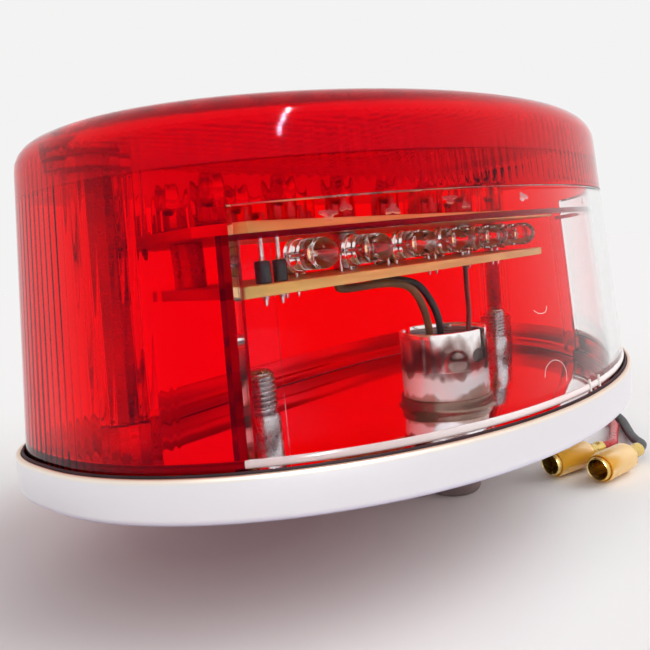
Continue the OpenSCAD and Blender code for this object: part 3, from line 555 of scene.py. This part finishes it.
def gasket():
    """Dark gasket with a paler band under the lens, and a dark bead along the rim that is partly
    gasket and partly painted shadow of the gap between lens and rim.
    """
    run = all_round(480, 0.8)
    top, low = RIM_TOP + 0.25, RIM_TOP - 0.2
    band = [(4.5, GASKET_Z + 0.02), (1.0, GASKET_Z + 0.02), (0.84, GASKET_Z + 0.5),
            (0.84, GASKET_Z + 1.5), (4.5, GASKET_Z + 1.5)]
    # The dark bead stands partly for the gasket and partly for the painted shadow in the gap under
    # the lens.
    bead = [(0.82, low), (0.82, top - 0.15), (0.9, top), (1.1, top), (1.18, top - 0.15),
            (1.18, low + 0.1), (1.1, low)]
    mesh = Mesh()
    for profile in (band, bead):
        mesh.add(*rings_solid([level(run, inset, z) for inset, z in profile], closed=True))
    data = mesh.piece("foot_gasket", "black_rubber", "base", "lens_gasket").data
    data.materials.append(MATERIALS["gasket_band"])
    for face in data.polygons[:len(band) * len(run)]:
        face.material_index = 1


gasket()

# Lens: outer and inner surface on one grid, divided into the red lens and the clear window
FLUTES, PER_FLUTE, FLUTE_D, FLUTE_END = 212, 6, 0.055, 10.5
FLUTE_LOW, FLUTE_OVER_WINDOW = 20, 56.5
ts = all_round(FLUTES * PER_FLUTE, LENS_INSET)
for end in (WINDOW_T0, WINDOW_T1):
    ts[np.argmin(np.abs(ts - end))] = end
N = len(ts)


def lens_profiles():
    """Outer and inner (inset, z) points in step, from the foot over the edge to the roof's rim."""
    inner_r = LENS_EDGE_R - LENS_WALL
    levels = [LENS_Z, 19.6, 20.6, RIM_TOP, 25.0, 29.0, 34.0, 39.0, 44.0, 49.0, WINDOW_TOP, 56.2,
              56.9, 57.8, 58.8, 61.0, 63.0, LENS_TOP - LENS_EDGE_R]
    outer = [(LENS_INSET + lean(z), z) for z in levels]
    inner = [(LENS_INSET + LENS_WALL + lean(z), z) for z in levels]
    for a in (15, 30, 45, 60, 75, 90):
        s, c = sin(radians(a)), cos(radians(a))
        outer.append((LENS_INSET + LENS_DRAFT + LENS_EDGE_R * (1 - c),
                      LENS_TOP - LENS_EDGE_R * (1 - s)))
        inner.append((LENS_INSET + LENS_WALL + LENS_DRAFT + inner_r * (1 - c),
                      LENS_TOP - LENS_WALL - inner_r * (1 - s)))
    return outer, inner, levels.index(WINDOW_TOP)


def flutes(z):
    """Depth of the inner wall's flutes: all round above the window, and only beside it below."""
    if not FLUTE_LOW <= z <= LENS_TOP - LENS_WALL:
        return np.zeros(N)
    beside = (ts <= WINDOW_T0 - FLUTE_END) | (ts >= WINDOW_T1 + FLUTE_END)
    wave = np.abs(np.sin(np.pi * np.arange(N) / PER_FLUTE))
    return FLUTE_D * wave * (beside | (z >= FLUTE_OVER_WINDOW))


def roof_rings(edge, z, optics):
    """Rings from the roof's rim to its middle; the inside carries a pattern of small lenses."""
    centre = np.array([0.0, 3.5])
    pitch, depth = 3.4, 0.3
    rings = []
    for f in np.linspace(1, 0.02, 30)[1:]:
        xy = centre + f * (edge[:, :2] - centre)
        zz = np.full(N, z)
        if optics:
            wave = np.abs(np.sin(np.pi * xy[:, 0] / pitch) * np.sin(np.pi * xy[:, 1] / pitch))
            zz = z - depth * wave * np.clip((1 - f) * 18, 0, 1) * (1 if f > 0.06 else 0)
        rings.append(np.column_stack([xy, zz]))
    return rings


def red_lens():
    """The lens as one closed shell: wall, edge and roof, with the window's opening left out."""
    profile_out, profile_in, k_top = lens_profiles()
    outer = [level(ts, inset, z) for inset, z in profile_out]
    inner = [level(ts, inset + flutes(z), z) for inset, z in profile_in]
    count = len(outer)
    window = (ts > WINDOW_T0 - 1e-9) & (ts < WINDOW_T1 - 1e-9)
    verts = [p for ring in outer for p in ring] + [p for ring in inner for p in ring]
    base_in = count * N
    faces = []

    def red(k, i):
        return k >= k_top or not window[i]

    for k in range(count - 1):
        for i in range(N):
            j = (i + 1) % N
            if not red(k, i):
                continue
            a, b, c, d = k * N + i, k * N + j, (k + 1) * N + j, (k + 1) * N + i
            e, f, g, h = (base_in + v for v in (a, b, c, d))
            faces += [(a, b, c, d), (e, h, g, f)]
            if k == 0 or not red(k - 1, i):
                faces.append((a, e, f, b))
            if not red(k, (i - 1) % N):
                faces.append((a, d, h, e))
            if not red(k, j):
                faces.append((b, f, g, c))
    for grid, z, inside in ((outer, LENS_TOP, False), (inner, LENS_TOP - LENS_WALL, True)):
        rings = roof_rings(grid[-1], z, inside)
        start = len(verts)
        verts += [p for ring in rings for p in ring]
        last = [base_in * inside + (count - 1) * N + i for i in range(N)]
        for r in range(len(rings)):
            now = [start + r * N + i for i in range(N)]
            for i in range(N):
                j = (i + 1) % N
                quad = (last[i], last[j], now[j], now[i])
                faces.append(quad[::-1] if inside else quad)
            last = now
        faces.append(tuple(reversed(last)) if inside else tuple(last))
    used = sorted({i for f in faces for i in f})
    renum = {old: new for new, old in enumerate(used)}
    return [verts[i] for i in used], [tuple(renum[i] for i in f) for f in faces]


# The lens's edge and roof are a little duller than its wall
DULL_BAND = 3.7
lens = piece("lens_red", *red_lens(), "red_plastic", "lens", "red_lens", smooth=35).data
lens.materials.append(MATERIALS["red_plastic_edge"])
for face in lens.polygons:
    face.material_index = int(face.center.z > (LENS_TOP - LENS_EDGE_R - DULL_BAND) * MM)


def lens_skirt():
    """Red skirt inside the lens's foot, which stands in the channel and hides the gasket."""
    profile = [(4.2, RIM_TOP + 0.9), (4.2, 18.6), (4.7, 18.6), (4.7, FLOOR_Z + 0.3),
               (4.95, FLOOR_Z + 0.3), (4.95, 18.8), (4.45, 19.3), (4.45, RIM_TOP + 0.8),
               (4.38, RIM_TOP + 0.9)]
    run = stretch(420, WINDOW_T1 - 360 + 0.5, WINDOW_T0 - 0.5)
    return rings_solid([[(*outline_xy(t, inset), z) for inset, z in profile] for t in run])


piece("lens_foot_skirt", *lens_skirt(), "red_plastic", "lens", material="red_skirt")


def wall_rings(run, levels):
    """Closed strip along the wall: at each (z, inset, inset) it runs out and back."""
    rings = [np.vstack([level(run, out, z), level(run[::-1], back, z)]) for z, out, back in levels]
    verts, faces = rings_solid(rings)
    faces = faces[:-2]
    m = len(rings[0])
    for base, flip in ((0, False), ((len(rings) - 1) * m, True)):
        for i in range(m // 2 - 1):
            quad = (base + i, base + m - 1 - i, base + m - 2 - i, base + i + 1)
            faces.append(quad[::-1] if flip else quad)
    return verts, faces


def wall_strip(t0, t1, inset0, inset1, z0, z1, count):
    """Curved strip between two insets, which follow the wall's lean."""
    run = stretch(count, t0, t1)
    heights = np.linspace(z0, z1, max(2, int((z1 - z0) / 6) + 1))
    return wall_rings(run, [(z, inset0 + lean(z), inset1 + lean(z)) for z in heights])


def window_mesh():
    gap, bevel = 0.06, 0.12
    run = stretch(300, WINDOW_T0, WINDOW_T1)
    run[0] += gap
    run[-1] -= gap
    levels = [(z, 0) for z in (LENS_Z, 20.0, RIM_TOP, 25.0, 29.0, 35.0, 41.0, 47.0, 52.0)]
    levels += [(WINDOW_TOP - gap - bevel, 0), (WINDOW_TOP - gap, bevel)]
    return wall_rings(run, [(z, LENS_INSET + lean(z) + cut, LENS_INSET + LENS_WALL + lean(z) - cut)
                            for z, cut in levels])


piece("window_clear", *window_mesh(), "clear_plastic", "lens", "plate_window", smooth=35)

# Red frame behind the window's edges, its rib, and the clear strip at its left end
WALL_IN, FRAME_T = LENS_INSET + LENS_WALL + 0.06, 2.6
RIB_TOP = RIB_Z + RIB_T
bar = wall_strip(WINDOW_T1, WINDOW_T1 + FRAME_T, WALL_IN, WALL_IN + FRAME_T, LENS_Z, RIB_TOP, 8)
piece("window_frame_right", *bar, "red_plastic", "lens", smooth=35)
bar_and_rib = Mesh()
bar_and_rib.add(*wall_strip(WINDOW_T0 - FRAME_T, WINDOW_T0, WALL_IN, WALL_IN + FRAME_T, LENS_Z,
                            RIB_TOP, 8))
bar_and_rib.add(*wall_strip(WINDOW_T0 + 0.05, WINDOW_T1 - 0.05, WALL_IN + 0.05, WALL_IN + 1.9,
                            RIB_Z, RIB_TOP, 240))
bar_and_rib.piece("window_frame", "red_plastic", "lens", material="frame_red", smooth=35)
end_strip = wall_strip(WINDOW_T0 + 0.1, WINDOW_T0 + 5.0, WALL_IN, WALL_IN + 0.7, LENS_Z,
                       RIB_Z - 0.2, 14)
piece("window_end_strip", *end_strip, "clear_plastic", "lens", smooth=35)


def foot_bead():
    """Bead where the window's foot stands on the gasket, round in section; its pale colour is a
    painted highlight for the light refracted at the window's foot.
    """
    sides, height, depth = 10, 0.58, 0.36
    rings = []
    for t in stretch(320, WINDOW_T0 - 0.4, WINDOW_T1 + 0.4):
        ring = []
        for k in range(sides):
            a = tau * k / sides
            z = RIM_TOP + 0.95 + height * sin(a)
            ring.append((*outline_xy(t, LENS_INSET + 0.14 + lean(z) - depth * cos(a)), z))
        rings.append(ring)
    return rings_solid(rings)


piece("window_foot_bead", *foot_bead(), "clear_plastic", "lens", material="foot_bead", smooth=80)


def wall_point(t, z, inset):
    return Vector((*outline_xy(t, inset + lean(z)), z))


def glue_marks():
    """Smears of dried glue inside the window, over the rib, and a thin line along its top."""
    mesh = Mesh()
    smears = [(226.5, 53.4, 1.6), (229.0, 54.2, 1.2), (235.8, 53.3, 1.5), (245.0, 54.2, 1.4),
              (247.6, 53.2, 1.0), (259.5, 53.9, 1.3), (304.0, 54.0, 1.2)]
    for t, z, size in smears:
        r = 0.7 * size
        rings = []
        for share, depth in ((1.0, 0.02), (0.85, 0.14), (0.45, 0.2)):
            ring = []
            for k in range(18):
                a = tau * k / 18
                wave = 1 + 0.28 * sin(3 * a + t) + 0.16 * sin(5 * a + 2 * t)
                u, v = share * r * wave * cos(a), 0.62 * share * r * wave * sin(a)
                point = wall_point(t + u * 1.05, z + v, LENS_INSET + LENS_WALL + depth)
                ring.append(tuple(point))
            rings.append(ring)
        mesh.add(*rings_solid(rings))
    mesh.add(*wall_strip(WINDOW_T0 + 0.1, WINDOW_T1 - 0.1, LENS_INSET - 0.04, LENS_INSET + 0.1,
                         WINDOW_TOP - 0.2, WINDOW_TOP - 0.04, 260))
    mesh.piece("window_glue", "clear_plastic", "lens", material="dry_glue", smooth=70)


glue_marks()


def window_marks():
    """Fine hairs on the window and the two small lugs at its foot."""
    hair_r, lug_r = 0.045, 0.22
    mesh = Mesh()
    hairs = [[(257.0, 27.4), (257.6, 28.8), (259.4, 29.5), (261.3, 28.8), (262.2, 27.3),
              (262.0, 25.8)], [(256.5, 37.4), (257.5, 36.8), (259.0, 36.8), (259.5, 37.6)]]
    for hair in hairs:
        path = spline([wall_point(t, z, LENS_INSET - 0.05) for t, z in hair], 5)
        mesh.add(*tube(path, hair_r, 6))
    for t in (268.2, 271.6):
        path = [wall_point(t, RIM_TOP + 0.3, LENS_INSET - 0.25),
                wall_point(t + 0.3, RIM_TOP + 2.2, LENS_INSET - 0.1)]
        mesh.add(*tube(path, lug_r, 10))
    mesh.piece("window_hairs", "clear_plastic", "lens", material="pale_hair", smooth=70)


window_marks()


def lens_tubes():
    """Screw tubes of the lens and the bosses that hold the upper board."""
    tubes = Mesh()
    roof, seat, bore, boss_bore = LENS_TOP - LENS_WALL - 0.6, SCREW_HEAD_Z - SEAL_T, 2.3, 1.51
    wall = [(bore, TUBE_Z), (TUBE_R, TUBE_Z), (TUBE_R, seat - 2.6), (HEAD_ROOM_R + 1.4, seat - 2.0),
            (HEAD_ROOM_R + 1.4, roof), (HEAD_ROOM_R, roof), (HEAD_ROOM_R, seat), (bore, seat)]
    boss = [(boss_bore, UPPER_TOP), (BOSS_R, UPPER_TOP), (BOSS_R, roof), (boss_bore, roof)]
    for side in (-1, 1):
        tubes.turn(wall, at(side * SCREW_X, SCREW_Y, 0), 64, closed=True)
        tubes.turn(boss, at(side * BOSS_X, BOSS_Y, 0), closed=True)
    tubes.piece("lens_tubes", "red_plastic", "lens")


lens_tubes()

# LED unit
PLATE_LED_X = [-30.3 + 13.4 * k for k in range(6)]
PLATE_LED_Y, PLATE_LED_Z = -4.9, (LOWER_TOP + UPPER_Z) / 2
TAIL_LED_PITCH, TAIL_ROW_PITCH = 14.0, 12.0


def led_profile():
    """Flange, barrel and dome of a 5 mm LED."""
    angles = [radians(a) for a in range(10, 90, 10)]
    dome = [(LED_R * cos(a), LED_L - LED_R * (1 - sin(a))) for a in angles]
    return [(0, 0), (2.75, 0), (LED_FLANGE_R, 0.15), (LED_FLANGE_R, 0.85), (2.75, 1.0),
            (2.56, 1.05), (LED_R, 1.2), (LED_R, LED_L - LED_R), *dome, (0, LED_L)]


def led_innards(metal, chip, move):
    """Anvil with its cup, the thinner post beside it, and the chip in the cup."""
    cup = [(0, 3.2), (0.55, 3.2), (0.78, 3.6), (1.0, 4.6), (0.88, 4.6), (0.5, 4.0), (0, 4.0)]
    bond = [(0.95, 0, 4.45), (0.7, 0, 5.1), (0.1, 0, 5.05), (-0.4, 0, 4.3)]
    metal.add(*box((-1.55, -0.25, 0.2), (-0.35, 0.25, 3.4), 0.08), move=move)
    metal.turn(cup, move @ at(-0.45, 0, 0), 24)
    metal.add(*box((0.65, -0.22, 0.2), (1.5, 0.22, 3.1), 0.08), move=move)
    metal.add(*box((0.75, -0.2, 3.0), (1.2, 0.2, 4.5), 0.06), move=move)
    metal.add(*tube(spline(bond, 4), 0.05, 6), move=move)
    chip.add(*box((-0.8, -0.36, 4.0), (-0.1, 0.36, 4.5), 0.05), move=move)


def leds():
    """The plate LEDs lie between the boards; tail and brake LEDs stand on the upper one."""
    plate, metal, chips = Mesh(), Mesh(), Mesh()
    for x in PLATE_LED_X:
        place = at(x, PLATE_LED_Y, PLATE_LED_Z, rot("X", 90))
        plate.turn(led_profile(), place, 40)
        led_innards(metal, chips, place)
    plate.piece("plate_led_bodies", "clear_resin", "lens", "plate_leds", smooth=35)
    tail, brake, tail_metal, tail_chips = Mesh(), Mesh(), Mesh(), Mesh()
    for col in range(-3, 4):
        for row in range(3):
            place = at(col * TAIL_LED_PITCH, row * TAIL_ROW_PITCH, UPPER_TOP)
            (brake if abs(col) <= 1 else tail).turn(led_profile(), place, 28)
            led_innards(tail_metal, tail_chips, place)
    tail.piece("tail_led_bodies", "red_resin", "lens", "tail_leds", smooth=35)
    brake.piece("brake_led_bodies", "red_resin", "lens", "brake_leds", smooth=35)
    metal.piece("plate_led_frames", "tinned_wire", "lens", material="led_frame")
    tail_metal.piece("tail_led_frames", "tinned_wire", "lens", material="led_frame")
    chips.piece("plate_led_chips", "brass", "lens", material="chip_gold")
    tail_chips.piece("tail_led_chips", "brass", "lens", material="chip_gold")


leds()


def small_parts():
    """Leads, solder, diodes and resistors of the lower board."""
    leads, solder, bodies, wires, lacquer, ends = (Mesh() for _ in range(6))
    joint = [(0, 0), (0.95, 0), (0.8, -0.18), (0.55, -0.45), (0.42, -0.8), (0.32, -1.1),
             (0.28, -1.55), (0.2, -1.68), (0, -1.7)]
    diodes, diode_h, diode_wire_h = ((-42.2, -10.7), (-38.6, -10.1)), 3.2, 7.0
    resistor_x, resistor_y, resistor_z, half = (-24, 4, 22), 4.5, LOWER_TOP + 1.1, 3.15

    def add_joint(x, y):
        size = rng.uniform(0.88, 1.0)
        shape = [(r * size, z * rng.uniform(0.9, 1.0)) for r, z in joint]
        verts, faces = turned(shape, 20)
        solder.add(verts, [f[::-1] for f in faces],
                   move=at(x, y, LOWER_Z, rot("Z", rng.uniform(0, 90))))

    for led_x in PLATE_LED_X:
        for side in (-1, 1):
            x = led_x + side * 1.27
            route = [(x, PLATE_LED_Y + back, z) for back, z in (
                (0, PLATE_LED_Z), (0.9, PLATE_LED_Z), (1.55, PLATE_LED_Z - 0.25),
                (1.75, PLATE_LED_Z - 1.0), (1.75, LOWER_TOP))]
            leads.add(*tube(spline(route, 4), 0.3, 8, (0, 1, 0), (0, 0, -1)))
            add_joint(x, PLATE_LED_Y + 1.7)
    body = [(0, 0), (1.0, 0), (1.15, 0.15), (1.15, 2.0), (1.17, 2.05), (1.17, 2.6), (1.15, 2.65),
            (1.15, 3.0), (1.0, diode_h), (0, diode_h)]
    wire = [(0, diode_h), (0.55, diode_h), (0.42, 3.55), (0.38, 3.8), (0.38, diode_wire_h),
            (0, diode_wire_h)]
    for x, y in diodes:
        bodies.turn(body, at(x, y, LOWER_TOP), 40)
        wires.turn(wire, at(x, y, LOWER_TOP), 24)
        add_joint(x, y)
    end = [(0, 0), (0.7, 0), (1.0, 0.2), (1.1, 0.6), (1.1, 1.3), (0.95, 1.7)]
    barrel = [(r, z - half) for r, z in end] + [(r, half - z) for r, z in reversed(end)]
    for x in resistor_x:
        lacquer.turn(barrel, at(x, resistor_y, resistor_z, rot("Y", 90)), 32)
        for side in (-1, 1):
            route = [(x + side * reach, resistor_y, z) for reach, z in (
                (3.1, resistor_z), (3.4, resistor_z), (3.75, LOWER_TOP + 0.8), (3.75, LOWER_TOP))]
            ends.add(*tube(spline(route, 4), 0.28, 10, (side, 0, 0), (0, 0, -1)))
            add_joint(x + side * 3.75, resistor_y)
    leads.piece("led_lead_wires", "tinned_wire", "lens", "plate_led_leads", smooth=60)
    solder.piece("solder_cones", "solder", "lens", "solder_joints", smooth=60)
    bodies.piece("diode_bodies", "black_plastic", "lens", "diodes")
    wires.piece("diode_wires", "tinned_wire", "lens", "diode_leads")
    lacquer.piece("resistor_barrels", "resistor_body", "lens", "resistors", smooth=50)
    ends.piece("resistor_wires", "tinned_wire", "lens", "resistor_leads", smooth=60)


small_parts()


def board_pieces():
    """The two boards with broken edges, and the spacers between them."""
    half, side, front, back, edge = 46.55, 50.65, -13.9, 31.0, 0.12
    outline = [(-half, front), (half, front), (side, front + 7), (side, back - 9),
               (side - 7, back), (7 - side, back), (-side, back - 9), (-side, front + 7)]
    rings = []
    for inset, z in ((edge, UPPER_Z), (0, UPPER_Z + edge), (0, UPPER_TOP - edge),
                     (edge, UPPER_TOP)):
        rings.append([tuple(Vector((x, y, z)) + Vector((-x, 8 - y, 0)).normalized() * inset)
                      for x, y in outline])
    piece("upper_board_sheet", *rings_solid(rings), "board", "lens", "upper_board", smooth=0)
    lower = box((-48.05, front, LOWER_Z), (39.35, 9.1, LOWER_TOP), edge)
    piece("lower_board_sheet", *lower, "board", "lens", "lower_board", smooth=0)
    post = [(0, 0), (2.35, 0), (2.5, 0.15), (2.5, 6.85), (2.35, 7.0), (0, 7.0)]
    spacers = Mesh()
    for x in (-44.05, -8, 35.35):
        spacers.turn(post, at(x, 5.1, LOWER_TOP))
    spacers.piece("spacer_posts", "zinc_steel", "lens", "board_spacers")


board_pieces()

# Wires between the lower board and the plug
BLACK_WIRE = [(-12.5, -6, 43.5), (-12, -6.2, 42.4), (-7.6, -7.2, 42.3), (-3.8, -8.8, 41),
              (-2, -10.2, 37.8), (-0.9, -11, 34.1), (-0.5, -11, 30.5)]
BROWN_WIRE = [(-25, -8.6, 43.5), (-24, -8.7, 42.4), (-15, -9.8, 42.3), (-9.8, -10.6, 41.4),
              (-7.2, -11, 39.4), (-5.2, -11, 36.2), (-4.4, -11, 33.6), (-4, -11, 30.5)]
RED_WIRE = [(10.8, -10.5, 43.5), (10.6, -10.6, 41.8), (9.6, -11.2, 38.4), (7.8, -12.4, 35),
            (6.2, -13.2, 32.6), (5.4, -13.4, 30.5)]
for color, slot, route, r in (("black", "wire_black", BLACK_WIRE, 0.7),
                              ("brown", "wire_brown", BROWN_WIRE, 0.7),
                              ("red", "wire_dark_red", RED_WIRE, 0.5)):
    wire = tube(spline(route, 6), r, 16, (0, 0, -1), (0, 0, -1))
    piece(color + "_inner_wire", *wire, slot, "lens", color + "_board_wire", smooth=60)


def pan_metal():
    """Pairs of metal and rubber parts on the pan and under it."""
    post_low = [(2.75, FLOOR_TOP), (2.75, RIM_Z + 7.3), (2.6, RIM_Z + 7.6), (2.5, RIM_Z + 7.8),
                (2.5, RIM_Z + 8.2), (2.05, RIM_Z + 8.4)]
    post_thread = (RIM_Z + 8.45, RIM_Z + 14.7, 2.05, 2.5, 0.8)
    post_high = [(2.02, RIM_Z + 14.72), (1.65, RIM_Z + 15.1)]
    pillar = [(2.06, FLOOR_TOP), (4.2, FLOOR_TOP), (4.2, FLOOR_TOP + 8.7),
              (3.95, FLOOR_TOP + 9.0), (2.3, FLOOR_TOP + 9.0), (2.06, FLOOR_TOP + 8.75)]
    stud_low, stud_thread = [(2.3, 0.0), (2.5, 0.35)], (0.6, 9.8, 2.5, 3.0, 1.0)
    stud_high = [(3.0, 9.9), (3.0, 10.3), (3.3, 10.4), (3.3, RIM_Z - 0.5), (5.8, RIM_Z - 0.5),
                 (6.0, RIM_Z - 0.3), (6.0, FLOOR_Z)]
    damper = [(3.42, 10.6), (3.6, 10.5), (7.4, 10.5), (7.9, 10.9), (8.0, 11.4), (8.0, 12.4),
              (7.75, 12.8), (7.75, 13.2), (8.0, 13.6), (8.0, 14.6), (7.9, 15.1), (7.4, 15.5),
              (3.6, 15.5), (3.42, 15.4)]

    def pair(name, slot, node, x, y, shape, smooth):
        mesh = Mesh()
        for side in (-1, 1):
            mesh.add(*shape, move=at(side * x, y, 0))
        mesh.piece(name, slot, "base", node, smooth=smooth)

    pair("threaded_post_pair", "zinc_steel", "threaded_posts", POST_X, POST_Y,
         threaded(post_low, post_thread, post_high), 50)
    pair("pillar_pair", "zinc_steel", "screw_pillars", SCREW_X, SCREW_Y,
         turned(pillar, 60, closed=True), 40)
    pair("stud_pair", "zinc_steel", "mount_studs", STUD_X, STUD_Y,
         threaded(stud_low, stud_thread, stud_high), 50)
    pair("damper_pair", "black_rubber", "stud_dampers", STUD_X, STUD_Y,
         turned(damper, 56, closed=True), 50)


pan_metal()


def boot():
    """Rubber boot: a turned body with ribs, and the outlet for the leads."""
    body = [(0, 0), (4.7, 0), (5.2, 0.2), (5.5, 0.8), (5.5, 3.4), (6.2, 4.1), (8.6, 5.9),
            (9.65, 6.6), (9.65, 9.0), (9.45, 9.3), (9.45, 9.7), (9.65, 10.0), (9.65, 11.6),
            (9.45, 11.9), (9.45, 12.3), (9.65, 12.6), (9.65, RIM_Z - 1.3), (11.15, RIM_Z - 0.8),
            (11.15, RIM_Z + 0.5), (10.9, FLOOR_Z - 0.01), (SOCKET_R + 0.05, FLOOR_Z - 0.01),
            (SOCKET_R + 0.05, 7.2), (0, 7.2)]
    outlet = [(0, 4.5), (2.8, 4.5), (2.8, 8.2), (2.65, 8.5), (2.65, 8.9), (2.8, 9.2), (2.8, 9.9),
              (2.65, 10.2), (2.65, 10.6), (2.8, 10.9), (2.8, 12.5), (2.55, 13.0), (0, 13.0)]
    mesh = Mesh().turn(body, at(0, SOCKET_Y, 0), 72)
    mesh.turn(outlet, at(0, SOCKET_Y, OUTLET_Z, rot("Z", 45) @ rot("Y", 90)), 40)
    # The boot's brown-grey is painted shade, matching the floor's shadow under the lamp.
    mesh.piece("boot_painted_shade", "black_rubber", "base", "socket_boot", material="boot_painted_shade",
               smooth=45)


boot()


def socket_rings():
    """Wall of the bayonet tube, up outside and down inside, with a dimple pressed into it."""
    n, bottom, top = 160, FLOOR_Z - 9.5, SOCKET_TOP
    dimple, dimple_w, dimple_h, dimple_d = radians(231), 1.8, 1.9, 0.7
    levels = [bottom, bottom + 0.3, FLOOR_TOP, FLOOR_TOP + 3.0]
    levels += [top - 9.5 + 0.35 * k for k in range(19)] + [top - 2.4, top - 1.0, top - 0.15, top]
    rings = []
    for inner in (False, True):
        for z in reversed(levels) if inner else levels:
            edge = 0.12 if z in (bottom, top) else 0.0
            wall_r = SOCKET_BORE + edge if inner else SOCKET_R - edge
            up = (z - (top - 5.3)) / dimple_h
            ring = []
            for i in range(n):
                a = tau * i / n
                away = remainder(a - dimple, tau) * SOCKET_R / dimple_w
                press = dimple_d * max(0.0, 1 - away * away - up * up) ** 1.5
                ring.append(polar(wall_r - press, a, z))
            rings.append(ring)
    return rings


def cut_slots(shell):
    """Cut the two angled slots of the bayonet through the tube."""
    end_r, half_w, reach, drop = 1.3, 1.2, 2.9, 5.7
    start = degrees(asin((half_w - 0.2) / end_r))
    angles = [radians(start + k * (360 - 2 * start) / 20) for k in range(21)]
    shape = [(reach, drop), (1.1, drop), (1.1, half_w - 0.2)]
    shape += [(end_r * cos(a), end_r * sin(a)) for a in angles]
    shape += [(reach, 0.2 - half_w)]
    slots = Mesh()
    for a in SLOT_ANGLES:
        slots.add(*rings_solid([[(x, u, v) for u, v in shape] for x in (5.0, 10.0)]),
                  move=at(0, SOCKET_Y, SOCKET_TOP - 4.7, rot("Z", a)))
    cutter = new_object("slot_cutter", slots.verts, slots.faces)
    cut = shell.modifiers.new("slots", "BOOLEAN")
    cut.operation, cut.solver, cut.object = "DIFFERENCE", "EXACT", cutter
    cut_shell = shell.evaluated_get(bpy.context.evaluated_depsgraph_get())
    result = bpy.data.meshes.new_from_object(cut_shell)
    shell.modifiers.clear()
    shell.data = result
    bpy.data.objects.remove(cutter)
    smooth_faces(result, 40)


def contact_coil():
    """Spring with flat closed end turns, between the heights of the CAD spring."""
    wire_r, coil_r, turns = 0.4, 5.0, 5
    low, high = [c[2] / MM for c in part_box("contact_spring")]
    path = []
    for i in range(turns * 24 + 1):
        a = tau * i / 24
        rise = min(1.0, max(0.0, (i / 24 - 0.6) / (turns - 1.2)))
        x, y, z = polar(coil_r, a, low + wire_r + (high - low - 2 * wire_r) * rise)
        path.append((x, SOCKET_Y + y, z))
    coil = Mesh().add(*tube(path, wire_r, 10)).piece(
        "contact_coil", "spring_steel", "base", "contact_spring", smooth=60)
    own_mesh(coil)


def socket():
    """Bayonet tube, the spring in it and the LED unit's plug in its mouth."""
    place = at(0, SOCKET_Y, 0)
    cut_slots(Mesh().add(*rings_solid(socket_rings(), closed=True), move=place).piece(
        "socket_tube", "bright_socket", "base", "socket_shell", "nickel_painted_light", 0))
    contact_coil()
    top, low = SOCKET_TOP - 1.6, SOCKET_TOP - 7.6
    plug = [(0, low), (7.2, low), (7.52, low + 0.3), (7.52, top - 0.4), (7.2, top - 0.05),
            (4.6, top), (4.4, top - 0.5), (2.2, top - 0.5), (2.0, top), (0, top)]
    Mesh().turn(plug, place, 96).piece("mouth_plug", "plug_black", "lens", "socket_plug")


socket()


# Light, floor and background
def studio():
    """Soft light from all round; the background that camera, gloss and glass see is brighter."""
    background, sky_light = 0.9, 0.62
    world = bpy.data.worlds.new("studio")
    scene.world = world
    tree = Tree(world)
    rays = tree.add("LightPath").outputs
    seen = tree.joined("MAXIMUM", rays["Is Camera Ray"], rays["Is Glossy Ray"])
    seen = tree.joined("MAXIMUM", seen, rays["Is Transmission Ray"])
    tree.set(tree.nodes["Background"], Color=(1.0, 0.995, 0.995, 1),
             Strength=tree.ranged(seen, sky_light, background))


def floor():
    """Pale floor with a painted brown-violet shadow, darkest under the lamp a little to its left.
    """
    size = 3.0 / MM
    corners = [(-size, -size, 0), (size, -size, 0), (size, size, 0), (-size, size, 0)]
    obj = new_object("floor", corners, [(0, 1, 2, 3)])
    mat = Finish("floor_white", Specular_IOR_Level=0.0)
    space = mat.space(Location=(0.5, -0.27, 0.0), Scale=(1 / 0.067, 1 / 0.075, 1.0))
    distance = mat.add("VectorMath", Vector=space)
    distance.operation = "LENGTH"
    # Painted shadow: brown-violet in the middle of an ellipse under the lamp, fading out to the
    # pale floor.
    stops = [(0.25, (0.73, 0.54, 0.56)), (0.9, (0.98, 0.968, 0.966))]
    mat.set(mat.shader, Roughness=0.9, Base_Color=mat.ramp(distance.outputs["Value"], stops))
    obj.data.materials.append(mat.material)


def add_lamp(data, turn, place=(0, 0, 0)):
    lamp = bpy.data.objects.new(data.name, data)
    lamp.matrix_world = Matrix.Translation(place) @ turn
    lamp.visible_transmission = False
    scene.collection.objects.link(lamp)
    return lamp


def lamps():
    sun = bpy.data.lights.new("soft_sun", "SUN")
    sun.energy = 1.82
    sun.angle = radians(50)
    way = Vector((1.5, -1.1, 1.15)).to_track_quat("Z", "Y").to_matrix().to_4x4()
    add_lamp(sun, way).visible_glossy = False

    # Narrow lamp whose reflection draws the white stroke on the lens's upper edge
    low, high = Vector((-0.409, -0.563, 0.316)), Vector((-0.178, -0.337, 0.675))
    middle = (low + high) / 2
    back = (middle - Vector((-0.045, -0.021, 0.066))).normalized()
    along = (high - low) - (high - low).dot(back) * back
    along.normalize()
    strip = bpy.data.lights.new("strip_lamp", "AREA")
    strip.shape = "RECTANGLE"
    strip.size, strip.size_y = 0.012, (high - low).length
    strip.energy = 7.0
    turn = Matrix((along.cross(back), along, back)).transposed().to_4x4()
    add_lamp(strip, turn, middle).visible_diffuse = False


studio()
floor()
lamps()
scene.view_settings.view_transform = "Standard"
